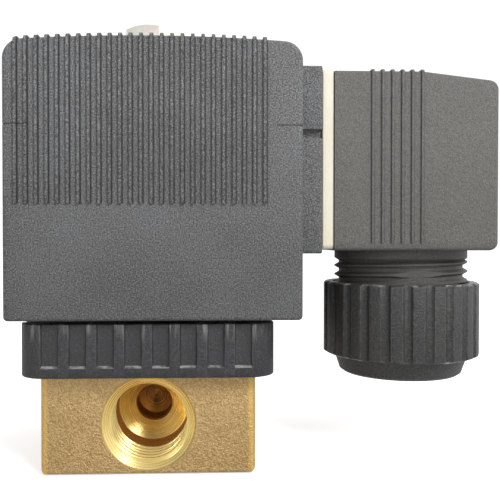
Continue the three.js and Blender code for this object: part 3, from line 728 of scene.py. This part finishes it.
def threaded_neck():
    """The neck under the hood, its thread ending in a plain shoulder and cut by a flat."""
    neck = lathe(
        "neck",
        [
            (NECK_ROOT - 0.5, NECK_LOW), (NECK_ROOT, NECK_LOW + 0.5), (NECK_ROOT, NECK_PLAIN),
            (NECK_R, NECK_PLAIN + 0.5), (NECK_R, PLUG_LOW + OVER),
        ],
    )
    thread_low, thread_high = NECK_LOW + 0.2, NECK_PLAIN + 0.4
    weld(neck, thread_bar("neck_thread", NECK_ROOT - 0.3, NECK_R, NECK_PITCH, thread_low, thread_high, 64))
    flat = block(
        "flat", (-NECK_FLAT_HALF, -NECK_R - OVER, NECK_LOW - OVER),
        (NECK_FLAT_HALF, NECK_FLAT_Y, NECK_FLAT_TOP),
    )
    return moved(cut(neck, flat), (GLAND_X, 0, 0))


def make_hood():
    hood = hood_form("plug_hood", 0)
    weld(hood, hood_ribs(), threaded_neck())
    wall = PLUG_WALL
    inside = block(
        "inside",
        (PLUG_FRONT - OVER, -PLUG_HALF + wall, PLUG_LOW + wall),
        (PLUG_BACK - wall, PLUG_HALF - wall, PLUG_HIGH - PLUG_DROP - wall),
    )
    gland_bore = lathe(
        "gland_bore",
        [
            (SLEEVE_BORE_R + 0.4, NECK_LOW - OVER), (SLEEVE_BORE_R, NECK_LOW + 0.4),
            (SLEEVE_BORE_R, SLEEVE_TOP), (CABLE_BORE_R, SLEEVE_TOP),
            (CABLE_BORE_R, PLUG_LOW + wall + OVER),
        ],
    )
    cut(hood, inside)
    boss = on_plug_axis(lathe("boss", [(BOSS_R, BOSS_X), (BOSS_R, PLUG_BACK - OVER)], 48))
    weld(hood, boss)
    screw_hole = lathe(
        "screw_hole",
        [
            (SCREW_HOLE_R, BOSS_X - 2 * OVER), (SCREW_HOLE_R, RECESS_X), (RECESS_R, RECESS_X),
            (RECESS_R, PLUG_BACK - 0.3), (RECESS_R + 1.3, PLUG_BACK + OVER),
        ],
        48,
    )
    cut(hood, moved(gland_bore, (GLAND_X, 0, 0)), on_plug_axis(screw_hole))
    hand_over(hood, "plug", "plug_plastic", "plug_housing")


make_hood()

# %% [markdown]
# ## Gasket, screw and gland
# The cream gasket between coil and plug bulges a little where it is squeezed. The gland's nut is
# fluted for the hand, its lower lip left ragged by the mould. The rubber sleeve and the pressure
# ring show from below, through the nut's mouth.

# %% Gasket and fixing screw
GASKET_CORNER, GASKET_EDGE, GASKET_HOLE_R = 0.8, 0.25, 1.8
HEAD_X, HEAD_R, SHANK_R, DRIVER_HALF, DRIVER_DEPTH = 51.6, 2.9, 1.4, 0.4, 0.9


def make_gasket():
    low, high = span("profile_gasket")
    gasket = block("gasket_sheet", low, high)
    round_edges(gasket, along_x, GASKET_CORNER, 6)
    left, right = low.x - OVER, high.x + OVER
    screw_hole = on_plug_axis(lathe("screw_hole", [(GASKET_HOLE_R, left), (GASKET_HOLE_R, right)], 32))
    cut(gasket, screw_hole, *blade_slots(left, right))
    soften(gasket, GASKET_EDGE, 3)
    hand_over(gasket, "plug", "gasket_cream", "profile_gasket")


def make_fixing_screw():
    tip, end = (corner.x for corner in span("plug_fixing_screw"))
    screw = lathe(
        "fixing_screw",
        [
            (SHANK_R - 0.4, tip), (SHANK_R, tip + 0.5), (SHANK_R, HEAD_X), (HEAD_R, HEAD_X),
            (HEAD_R, end - 0.9), (HEAD_R - 0.25, end - 0.4), (HEAD_R - 0.8, end - 0.1), (0.4, end),
        ],
        48,
    )
    reach = HEAD_R + OVER
    slot = block("slot", (-reach, -DRIVER_HALF, end - DRIVER_DEPTH), (reach, DRIVER_HALF, end + OVER))
    soften(cut(screw, slot), 0.06, 2)
    hand_over(on_plug_axis(screw), "plug_screw", "zinc_yellow", "plug_fixing_screw")


make_gasket()
make_fixing_screw()

# %% Gland
FLUTES, FLUTE_R, FLUTE_ROOT, FLUTE_TURN = 24, 0.85, 12.5, 4.3
GLAND_NUT_R, GLAND_LOW, GLAND_HIGH, GLAND_FLOOR, GLAND_EDGE = 13.1, 15.2, 27.7, 17.6, 0.14
LIP_BOTTOM, LIP_R, LIP_TOP_R, GLAND_MOUTH, THREAD_HOLE_R = 12.1, 10.3, 11.2, 5.6, 11.5


def make_gland_nut():
    nut = lathe(
        "gland_nut_fluted",
        [
            (LIP_R - 0.6, LIP_BOTTOM), (LIP_R, LIP_BOTTOM + 0.4), (LIP_TOP_R, GLAND_LOW),
            (FLUTE_ROOT - 0.3, GLAND_LOW), (GLAND_NUT_R, GLAND_LOW + 0.4),
            (GLAND_NUT_R, GLAND_HIGH - 0.3), (GLAND_NUT_R - 0.4, GLAND_HIGH),
        ],
        132,
    )
    flutes = []
    for i in range(FLUTES):
        flute = lathe("flute", [(FLUTE_R, GLAND_LOW - OVER), (FLUTE_R, GLAND_HIGH + OVER)], 12)
        flute = moved(flute, (FLUTE_ROOT + FLUTE_R, 0, 0))
        flutes.append(moved(flute, turn=(0, 0, FLUTE_TURN + 360 * i / FLUTES)))
    bore = lathe(
        "bore",
        [
            (GLAND_MOUTH + 0.8, LIP_BOTTOM - OVER), (GLAND_MOUTH, LIP_BOTTOM + 0.6),
            (GLAND_MOUTH, GLAND_FLOOR), (THREAD_HOLE_R, GLAND_FLOOR),
            (THREAD_HOLE_R, GLAND_HIGH - 0.3), (THREAD_HOLE_R + 0.5, GLAND_HIGH + OVER),
        ],
    )
    cut(nut, gathered("flutes", flutes), bore)
    soften(nut, GLAND_EDGE, 2, 28)
    hand_over(moved(nut, (GLAND_X, 0, 0)), "gland_nut", "gland_plastic", "gland_nut")


def make_gland_ring(name, node, body, slot, inner, outer, edge):
    low, high = (corner.z for corner in span(node))
    ring = lathe(
        name,
        [
            (inner + edge, low), (outer - edge, low), (outer, low + edge), (outer, high - edge),
            (outer - edge, high), (inner + edge, high), (inner, high - edge), (inner, low + edge),
        ],
        ring=True,
    )
    hand_over(moved(ring, (GLAND_X, 0, 0)), body, slot, node)


make_gland_nut()
make_gland_ring("rubber_sleeve", "cable_grommet", "plug", "black_rubber", 4.2, 7.7, 0.5)
make_gland_ring("pressure_ring", "thrust_ring", "gland_ring", "bobbin_nylon", 4.8, 7.6, 0.25)

# %% [markdown]
# ## Effects that several finishes share
# Moulded plastic, brass and rubber all need the same few things: a grain, broad stains, edges
# that have been rubbed and also carry a painted highlight, and painted shade at the feet of ribs.
# Each is a node group with named inputs, built once.

# %% Node helpers


def new_group(name, inputs, outputs):
    """A shader node group with float inputs and outputs, and its two end nodes."""
    group = bpy.data.node_groups.new(name, "ShaderNodeTree")
    for label, value in inputs.items():
        socket = group.interface.new_socket(label, in_out="INPUT", socket_type="NodeSocketFloat")
        socket.default_value = value
    for label in outputs:
        group.interface.new_socket(label, in_out="OUTPUT", socket_type="NodeSocketFloat")
    return group, group.nodes.new("NodeGroupInput"), group.nodes.new("NodeGroupOutput")


def add(tree, kind, links=(), **settings):
    """A node with its settings, linked from (socket or value, input name) pairs."""
    node = tree.nodes.new(kind)
    for name, value in settings.items():
        setattr(node, name, value)
    for source, target in links:
        if isinstance(source, (int, float, tuple)):
            node.inputs[target].default_value = source
        else:
            tree.links.new(source, node.inputs[target])
    return node


def math_node(tree, operation, first, second=0.0, clamp=False):
    links = [(first, 0), (second, 1)]
    return add(tree, "ShaderNodeMath", links, operation=operation, use_clamp=clamp).outputs[0]


def product(tree, first, second, clamp=False):
    return math_node(tree, "MULTIPLY", first, second, clamp)


def difference(tree, first, second, clamp=False):
    return math_node(tree, "SUBTRACT", first, second, clamp)


def size_of(tree, value):
    """A value without its sign."""
    return math_node(tree, "ABSOLUTE", value)


def remap(tree, value, from_low, from_high, to_low=0.0, to_high=1.0):
    names = ("Value", "From Min", "From Max", "To Min", "To Max")
    links = zip((value, from_low, from_high, to_low, to_high), names)
    return add(tree, "ShaderNodeMapRange", links).outputs["Result"]


def noise(tree, coordinates, scale, detail=2.0, roughness=0.5):
    links = [(coordinates, "Vector"), (scale, "Scale"), (detail, "Detail"), (roughness, "Roughness")]
    return add(tree, "ShaderNodeTexNoise", links).outputs["Fac"]


def object_place(tree):
    return add(tree, "ShaderNodeTexCoord").outputs["Object"]


def axes_of(tree, place):
    """The X, Y and Z of a place."""
    node = add(tree, "ShaderNodeSeparateXYZ", [(place, 0)])
    return [node.outputs[axis] for axis in "XYZ"]


# %% Grain, stain, rubbed edges with painted highlight, and painted rib shade


def grain_group():
    """The grain of a moulded or tumbled surface: its height, about 0.5 at rest, its tops and its pits."""
    inputs = {"Scale": 3000.0, "Coarse Share": 0.4}
    group, start, end = new_group("moulded_grain", inputs, ["Height", "Speckle", "Pits"])
    place = object_place(group)
    fine = noise(group, place, start.outputs["Scale"], 3.0, 0.6)
    coarse = noise(group, place, product(group, start.outputs["Scale"], 0.3), 2.0)
    share = start.outputs["Coarse Share"]
    mixed = add(group, "ShaderNodeMix", [(share, "Factor"), (fine, "A"), (coarse, "B")]).outputs["Result"]
    group.links.new(mixed, end.inputs["Height"])
    group.links.new(remap(group, fine, 0.51, 0.68), end.inputs["Speckle"])
    group.links.new(remap(group, fine, 0.49, 0.32), end.inputs["Pits"])
    return group


def stain_group():
    """Broad, soft unevenness: handling marks and flow of the material."""
    group, start, end = new_group("soft_stain", {"Scale": 90.0, "Contrast": 0.5}, ["Mask"])
    cloud = noise(group, object_place(group), start.outputs["Scale"], 4.0, 0.62)
    gain = product(group, start.outputs["Contrast"], 4.0)
    wide = product(group, difference(group, cloud, 0.5), gain)
    group.links.new(math_node(group, "ADD", wide, 0.5, clamp=True), end.inputs["Mask"])
    return group


def edge_wear_and_highlight_group():
    """Rubbed edges with painted highlight: the angle between a face and its rounded copy, broken by noise.
    """
    inputs = {"Radius": 0.0003, "Amount": 1.0, "Breakup": 900.0}
    group, start, end = new_group("rubbed_edges_and_highlight", inputs, ["Mask"])
    value = start.outputs
    rounded = add(group, "ShaderNodeBevel", [(value["Radius"], "Radius")], samples=6).outputs["Normal"]
    true_normal = add(group, "ShaderNodeNewGeometry").outputs["Normal"]
    dot = add(group, "ShaderNodeVectorMath", [(rounded, 0), (true_normal, 1)], operation="DOT_PRODUCT")
    edge = remap(group, dot.outputs["Value"], 0.998, 0.90)
    cloud = noise(group, object_place(group), value["Breakup"], 3.0, 0.65)
    mask = product(group, edge, remap(group, cloud, 0.40, 0.62))
    group.links.new(product(group, mask, value["Amount"], clamp=True), end.inputs["Mask"])
    return group


def painted_rib_shade_group():
    """Painted shade along both feet of evenly spaced ribs that stand across X, from a height upwards."""
    inputs = {
        "First": 0.0, "Pitch": 0.0015, "Count": 6.0, "Half Width": 0.0003, "Line": 0.0001, "Foot": 0.04,
    }
    group, start, end = new_group("painted_rib_foot_shade", inputs, ["Mask"])
    value = start.outputs
    x, y, z = axes_of(group, object_place(group))
    from_first = difference(group, x, value["First"])
    number = math_node(group, "ROUND", math_node(group, "DIVIDE", from_first, value["Pitch"]))
    last = difference(group, value["Count"], 1.0)
    number = math_node(group, "MINIMUM", math_node(group, "MAXIMUM", number, 0.0), last)
    offset = difference(group, from_first, product(group, number, value["Pitch"]))
    lines = []
    # Painted shadow: strong at one foot of each rib, weak at the other.
    for side, strength in ((1.0, 1.0), (-1.0, 0.3)):
        foot = product(group, value["Half Width"], side)
        away = size_of(group, difference(group, offset, foot))
        share = difference(group, 1.0, math_node(group, "DIVIDE", away, value["Line"]), clamp=True)
        lines.append(product(group, share, strength))
    above = math_node(group, "GREATER_THAN", z, value["Foot"])
    both = math_node(group, "MAXIMUM", *lines)
    group.links.new(product(group, both, above), end.inputs["Mask"])
    return group


GRAIN, STAIN, EDGE_WEAR_AND_HIGHLIGHT, PAINTED_RIB_SHADE = grain_group(), stain_group(), edge_wear_and_highlight_group(), painted_rib_shade_group()
print("node groups:", [group.name for group in (GRAIN, STAIN, EDGE_WEAR_AND_HIGHLIGHT, PAINTED_RIB_SHADE)])

# %% [markdown]
# ## Finishes
# A finish is a plain dark or bright base colour with the shared effects laid over it: stains
# shift the colour a little, speckles catch the light on the grain, rubbed edges go pale on
# plastic and bright on metal and also stand in for a painted highlight there, and painted shade
# lines the feet of ribs. The same numbers drive the roughness and the bump.

# %% A finish from the shared effects
RIB_SHADOW_COLOUR, RIB_SHADE = (0.012, 0.012, 0.013), 0.95
ROUGH_SWING, RUBBED_GLOSS, BUMP_REACH = 0.06, 0.12, 10
FINISHES = {}


def place_group(tree, group, **values):
    node = tree.nodes.new("ShaderNodeGroup")
    node.node_tree = group
    for name, value in values.items():
        node.inputs[name.replace("_", " ")].default_value = value
    return node.outputs


def mix_colour(tree, factor, first, second):
    node = add(tree, "ShaderNodeMix", data_type="RGBA")
    for value, socket in ((factor, 0), (first, 6), (second, 7)):
        if isinstance(value, (int, float)):
            node.inputs[socket].default_value = value
        elif isinstance(value, tuple):
            node.inputs[socket].default_value = (*value, 1)
        else:
            tree.links.new(value, node.inputs[socket])
    return node.outputs[2]


def finish(
    name, colour, stained, roughness, grain, spots=None, worn_and_highlit=None, metal=0.0, stain=(90.0, 0.5), ribs=None
):
    """A material: colour shifting to stained in clouds, a bumped grain (scale, height), spots on its
    tops and pits, edge wear with a painted highlight (colour, radius, amount) and painted rib shade."""
    material = bpy.data.materials.new(name)
    material.use_nodes = True
    tree = material.node_tree
    shader = tree.nodes["Principled BSDF"]
    shader.inputs["Metallic"].default_value = metal
    cloud = place_group(tree, STAIN, Scale=stain[0], Contrast=stain[1])["Mask"]
    surface = place_group(tree, GRAIN, Scale=grain[0])
    base = mix_colour(tree, cloud, colour, stained)
    if spots:
        for mask, spot in zip(("Speckle", "Pits"), spots):
            base = mix_colour(tree, surface[mask], base, spot)
    if ribs:
        # Painted shade: dark lines along the feet of the ribs.
        shade = place_group(tree, PAINTED_RIB_SHADE, **ribs)["Mask"]
        base = mix_colour(tree, product(tree, shade, RIB_SHADE), base, RIB_SHADOW_COLOUR)
    rough = remap(tree, surface["Height"], 0.3, 0.7, roughness - ROUGH_SWING, roughness + ROUGH_SWING)
    if worn_and_highlit:
        pale, radius, amount = worn_and_highlit
        # Edge wear, which also carries a painted highlight along the edges.
        rubbed_and_highlit = place_group(tree, EDGE_WEAR_AND_HIGHLIGHT, Radius=radius, Amount=amount)["Mask"]
        base = mix_colour(tree, rubbed_and_highlit, base, pale)
        rough = difference(tree, rough, product(tree, rubbed_and_highlit, RUBBED_GLOSS), clamp=True)
    tree.links.new(base, shader.inputs["Base Color"])
    tree.links.new(rough, shader.inputs["Roughness"])
    links = [(surface["Height"], "Height"), (grain[1] * MM * BUMP_REACH, "Distance"), (1.0, "Strength")]
    bump = add(tree, "ShaderNodeBump", links)
    tree.links.new(bump.outputs["Normal"], shader.inputs["Normal"])
    FINISHES[name] = material
    return material


# %% Plastics and rubber


def painted_rib_shade_inputs(middles, pitch, width, line, foot):
    """What the painted shade at a row of ribs needs, from sizes in mm."""
    return {
        "First": middles[0] * MM, "Pitch": pitch * MM, "Count": len(middles),
        "Half_Width": (width / 2 + 0.03) * MM, "Line": line * MM, "Foot": foot * MM,
    }


coil_plastic = finish(
    "coil_plastic", (0.152, 0.158, 0.160), (0.112, 0.108, 0.106), 0.60, (4800.0, 0.03),
    ((0.29, 0.295, 0.30), (0.028, 0.029, 0.030)), ((0.17, 0.175, 0.18), 0.00025, 0.1),
    stain=(70.0, 0.8), ribs=painted_rib_shade_inputs(RIB_MIDDLES, RIB_PITCH, RIB_WIDTH, 0.20, RIB_FOOT),
)
collar_plastic = finish(
    "collar_plastic", (0.030, 0.029, 0.032), (0.020, 0.020, 0.022), 0.42, (4600.0, 0.016),
    ((0.060, 0.060, 0.064), (0.012, 0.012, 0.013)), ((0.30, 0.30, 0.29), 0.00028, 0.6),
)
gland_plastic = finish(
    "gland_plastic", (0.048, 0.048, 0.046), (0.028, 0.028, 0.027), 0.42, (4200.0, 0.02),
    ((0.080, 0.080, 0.077), (0.014, 0.014, 0.014)), ((0.30, 0.29, 0.27), 0.00028, 0.45),
)
plug_plastic = finish(
    "plug_plastic", (0.125, 0.122, 0.112), (0.104, 0.101, 0.093), 0.55, (4600.0, 0.02),
    ((0.165, 0.163, 0.152), (0.068, 0.067, 0.061)), ((0.22, 0.215, 0.20), 0.0002, 0.4),
    ribs=painted_rib_shade_inputs(HOOD_RIB_MIDDLES, HOOD_RIB_PITCH, HOOD_RIB_WIDTH, 0.12, HOOD_RIB_FOOT),
)
finish(
    "gasket_cream", (0.80, 0.76, 0.64), (0.76, 0.70, 0.55), 0.6, (1500.0, 0.012), stain=(160.0, 0.6)
)
finish("carrier_plastic", (0.30, 0.30, 0.29), (0.25, 0.25, 0.24), 0.5, (2000.0, 0.01))
finish("black_rubber", (0.018, 0.018, 0.018), (0.030, 0.030, 0.030), 0.7, (1800.0, 0.012))
finish("bobbin_nylon", (0.62, 0.57, 0.45), (0.56, 0.50, 0.38), 0.45, (900.0, 0.01))

# %% Steels and copper
METALS = {
    "stainless": ((0.60, 0.60, 0.61), (0.52, 0.52, 0.53), 0.28, (1500.0, 0.006)),
    "spring_steel": ((0.50, 0.50, 0.51), (0.42, 0.42, 0.43), 0.32, (1500.0, 0.004)),
    "yoke_steel": ((0.40, 0.40, 0.41), (0.32, 0.31, 0.31), 0.45, (1300.0, 0.01)),
    "tinned_blade": ((0.66, 0.66, 0.64), (0.58, 0.58, 0.57), 0.34, (1400.0, 0.006)),
    "plain_brass": ((0.74, 0.54, 0.26), (0.66, 0.46, 0.20), 0.3, (1300.0, 0.006)),
    "copper_wire": ((0.55, 0.22, 0.10), (0.45, 0.17, 0.07), 0.35, (1000.0, 0.02)),
    "copper_ring": ((0.70, 0.36, 0.22), (0.60, 0.28, 0.16), 0.3, (1300.0, 0.006)),
}
for name, values in METALS.items():
    finish(name, *values, metal=1.0)

# %% [markdown]
# Two metals need more than the common finish. The brass is sand-coloured and matte outside but
# bright where a tool has cut it. Deeper in a drilled hole it is painted darker and redder, as
# shade and light bounced between brass walls, and its corners carry a painted highlight. The zinc
# of the nut is passivated, which leaves a thin rainbow film of straw, pink and green.

# %% Brass and passivated zinc
BODY_HALF, CUT_METALLIC, CUT_MARKS = 16.0, 0.72, 0.10
CUT_BRASS, CUT_BRASS_PALE = (0.97, 0.71, 0.20), (1.0, 0.82, 0.38)
SHADED_BRASS, DEEP_BORE_SHADE, BRASS_CORNER_HIGHLIGHT = (0.50, 0.20, 0.06), (0.50, 0.22, 0.12), (0.86, 0.56, 0.18)


def source_of(material, name):
    """What feeds one of a material's inputs."""
    return material.node_tree.nodes["Principled BSDF"].inputs[name].links[0].from_socket


def overlay(material, mask, colour):
    """Lays a colour over a material's base where a mask is white."""
    tree = material.node_tree
    base = mix_colour(tree, mask, source_of(material, "Base Color"), colour)
    tree.links.new(base, tree.nodes["Principled BSDF"].inputs["Base Color"])


def brass_finish():
    """Tumbled brass, painted highlight on corners; cut brass in ports, with painted shade browner with
    depth.
    """
    material = finish(
        "brass_body", (0.62, 0.43, 0.20), (0.53, 0.355, 0.155), 0.48, (4600.0, 0.03),
        ((0.76, 0.56, 0.29), (0.40, 0.26, 0.105)), ((0.80, 0.54, 0.21), 0.0006, 0.7), 1.0, (150.0, 0.6),
    )
    tree = material.node_tree
    shader = tree.nodes["Principled BSDF"]
    x, y, z = axes_of(tree, object_place(tree))
    z = difference(tree, z, PORT_Z * MM)
    squared = math_node(tree, "ADD", product(tree, x, x), product(tree, z, z))
    from_axis = math_node(tree, "SQRT", squared)
    inside = remap(tree, from_axis, (PORT_MOUTH + 0.06) * MM, (PORT_MOUTH - 0.04) * MM)
    depth = difference(tree, BODY_HALF * MM, size_of(tree, y))
    deep = remap(tree, depth, 12.6 * MM, 15.0 * MM)
    past_thread = remap(tree, depth, 7.3 * MM, 7.6 * MM)
    before_cone = remap(tree, depth, 11.5 * MM, 11.2 * MM)
    shaded = product(tree, past_thread, before_cone)
    turned_bands = noise(tree, add(tree, "ShaderNodeCombineXYZ", [(depth, 0)]).outputs[0], 7000.0, 1.0)
    bright = mix_colour(tree, turned_bands, CUT_BRASS, CUT_BRASS_PALE)
    # Painted shade past the thread, and deeper in the bore a redder painted shade, where light bounces
    # between brass walls.
    bright = mix_colour(tree, product(tree, shaded, 0.8), bright, SHADED_BRASS)
    bright = mix_colour(tree, deep, bright, DEEP_BORE_SHADE)
    # Painted highlight down the upright corners of the body.
    across = math_node(tree, "ADD", size_of(tree, x), size_of(tree, y))
    corner = remap(tree, across, 30.7 * MM, 31.2 * MM)
    overlay(material, product(tree, corner, 0.7), BRASS_CORNER_HIGHLIGHT)
    overlay(material, inside, bright)
    cut_rough = remap(tree, turned_bands, 0.3, 0.7, 0.20, 0.32)
    links = [(inside, "Factor"), (source_of(material, "Roughness"), "A"), (cut_rough, "B")]
    rough = add(tree, "ShaderNodeMix", links).outputs["Result"]
    tree.links.new(rough, shader.inputs["Roughness"])
    metallic = remap(tree, inside, 0.0, 1.0, 1.0, CUT_METALLIC)
    tree.links.new(metallic, shader.inputs["Metallic"])
    bump = source_of(material, "Normal").node
    grain = bump.inputs["Height"].links[0].from_socket
    links = [(inside, "Factor"), (grain, "A"), (product(tree, turned_bands, CUT_MARKS), "B")]
    height = add(tree, "ShaderNodeMix", links).outputs["Result"]
    tree.links.new(height, bump.inputs["Height"])


def zinc_finish():
    """A thin rainbow film over zinc plate."""
    material = finish(
        "zinc_yellow", (0.95, 0.92, 0.76), (0.96, 0.85, 0.80), 0.36, (1300.0, 0.008), metal=0.55,
        stain=(260.0, 1.0),
    )
    green = place_group(material.node_tree, STAIN, Scale=380.0, Contrast=1.1)["Mask"]
    overlay(material, product(material.node_tree, green, 0.55), (0.84, 0.90, 0.82))


brass_finish()
zinc_finish()

# %% [markdown]
# Some marks are painted light and shade. The lower part of the coil and of the plug is painted
# darker, as shade. The collar's sunk panels are painted darker, as shade, with a painted
# highlight along their feet, and pale streaks run down from the top of its lands. The gland's
# nut keeps a ragged pale line at both ends, where flash was torn off.

# %% Painted shade and highlight, and pale marks


def painted_shade_below(material, low, high, share):
    """Painted shade: the lower part of a piece a little darker, where less light falls."""
    tree = material.node_tree
    z = axes_of(tree, object_place(tree))[2]
    overlay(material, remap(tree, z, high * MM, low * MM, 0.0, share), (0.02, 0.02, 0.02))


def ragged_band(material, height, half, colour, scale):
    """A broken pale line round a piece at one height, as flash torn off a moulding leaves."""
    tree = material.node_tree
    place = object_place(tree)
    away = size_of(tree, difference(tree, axes_of(tree, place)[2], height * MM))
    band = remap(tree, away, half * MM, half * 0.4 * MM)
    broken = remap(tree, noise(tree, place, scale, 3.0, 0.65), 0.50, 0.60)
    overlay(material, product(tree, band, broken), colour)


def collar_shade_highlight_streaks(material):
    """Painted shade in the sunk panels, a painted highlight at their feet, pale streaks from the lands'
    tops.
    """
    tree = material.node_tree
    place = object_place(tree)
    x, y, z = axes_of(tree, place)
    along = math_node(tree, "MINIMUM", size_of(tree, x), size_of(tree, y))
    in_pitch = math_node(tree, "MODULO", along, PANEL_PITCH * MM)
    from_middle = size_of(tree, difference(tree, in_pitch, PANEL_PITCH / 2 * MM))
    panel = math_node(tree, "LESS_THAN", from_middle, PANEL_WIDTH / 2 * MM)
    row_end = ((PANELS - 1) / 2 * PANEL_PITCH + PANEL_WIDTH / 2 + 0.1) * MM
    panel = product(tree, panel, math_node(tree, "LESS_THAN", along, row_end))
    foot_z = span("flange_collar")[0].z + PANEL_FOOT
    # Painted highlight: the ledge at each panel's foot faces up to the light.
    from_foot = size_of(tree, difference(tree, z, (foot_z + 0.02) * MM))
    line = product(tree, remap(tree, from_foot, 0.20 * MM, 0.06 * MM), panel)
    line = product(tree, line, remap(tree, noise(tree, place, 700.0, 3.0, 0.6), 0.36, 0.56))
    stretched = add(tree, "ShaderNodeMapping", [(place, "Vector"), ((1.0, 1.0, 0.12), "Scale")])
    streaks = remap(tree, noise(tree, stretched.outputs[0], 1500.0, 2.0), 0.48, 0.66)
    top = remap(tree, z, 19.8 * MM, 22.4 * MM)
    streak = product(tree, product(tree, streaks, top), difference(tree, 1.0, panel))
    streaks_and_highlight = math_node(tree, "MAXIMUM", product(tree, streak, 0.55), line)
    # Painted shade in the sunk panels.
    overlay(material, product(tree, panel, 0.30), (0.008, 0.008, 0.009))
    overlay(material, streaks_and_highlight, (0.30, 0.30, 0.29))


collar_shade_highlight_streaks(collar_plastic)
painted_shade_below(coil_plastic, 26.0, 54.0, 0.36)
painted_shade_below(plug_plastic, 33.2, 34.8, 0.35)
ragged_band(gland_plastic, GLAND_LOW + 0.1, 0.30, (0.34, 0.33, 0.31), 420.0)
ragged_band(gland_plastic, GLAND_HIGH - 0.1, 0.22, (0.26, 0.25, 0.24), 520.0)

# %% [markdown]
# ## Every piece gets its finish
# The record names a material slot for each CAD node, and each new piece was given a slot when it
# was handed over. Each finish has its slot's name, so one table dresses them all.

# %% Dressing


def dress(piece, slot):
    piece.data.materials.clear()
    piece.data.materials.append(FINISHES[slot])


for piece, slot in NEW_PIECES:
    dress(piece, slot)
for part in frame["record"]["subparts"]:
    node = nodes[part["node"]]
    if not node.hide_render:
        dress(node, part["material_slot"])
print("finishes:", len(FINISHES))

# %% [markdown]
# ## The studio
# A pale floor, a broad key light from the front right and a small low light from the front left.
# The floor is bright to the camera but dim to all else, so that it doesn't wash out the undersides.
# The surround is brighter behind the valve, and it is what the bright brass mirrors.

# %% Floor and lights
BACKDROP = (0.42, 0.87, 0.26)


def make_floor():
    deselect()
    bpy.ops.mesh.primitive_plane_add(size=6, location=(0, 0, -0.0002))
    floor = bpy.context.object
    floor.name = "floor"
    material = bpy.data.materials.new("studio_floor")
    material.use_nodes = True
    tree = material.node_tree
    shader = tree.nodes["Principled BSDF"]
    seen = add(tree, "ShaderNodeLightPath").outputs["Is Camera Ray"]
    for name, dim, bright in (("Base Color", 0.45, 0.92), ("Emission Color", 0.10, 0.45)):
        shade = mix_colour(tree, seen, (dim, dim, dim), (bright, bright, bright))
        tree.links.new(shade, shader.inputs[name])
    shader.inputs["Roughness"].default_value = 0.9
    shader.inputs["Emission Strength"].default_value = 1.0
    floor.data.materials.append(material)


def soft_light(name, place, size, power, aim=(0.008, 0, 0.036)):
    data = bpy.data.lights.new(name, "AREA")
    data.size, data.energy = size, power
    light = bpy.data.objects.new(name, data)
    light.location = place
    light.rotation_euler = (Vector(aim) - Vector(place)).to_track_quat("-Z", "Y").to_euler()
    bpy.context.scene.collection.objects.link(light)


def bright_backdrop(dark, bright):
    """A surround that is bright behind the valve and to its right, and darker on the viewer's side."""
    world = bpy.data.worlds.new("surround")
    world.use_nodes = True
    tree = world.node_tree
    direction = add(tree, "ShaderNodeTexCoord").outputs["Generated"]
    towards = add(tree, "ShaderNodeVectorMath", [(direction, 0), (BACKDROP, 1)], operation="DOT_PRODUCT")
    level = remap(tree, towards.outputs["Value"], -0.3, 0.5, dark, bright)
    tree.links.new(level, tree.nodes["Background"].inputs["Strength"])
    tree.nodes["Background"].inputs["Color"].default_value = (1, 1, 1, 1)
    bpy.context.scene.world = world


make_floor()
soft_light("key", (0.36, -0.44, 0.44), 0.28, 3.6)
soft_light("low left", (-0.30, -0.55, 0.12), 0.14, 0.7)
bright_backdrop(0.42, 1.1)
bpy.context.scene.view_settings.view_transform = "Standard"
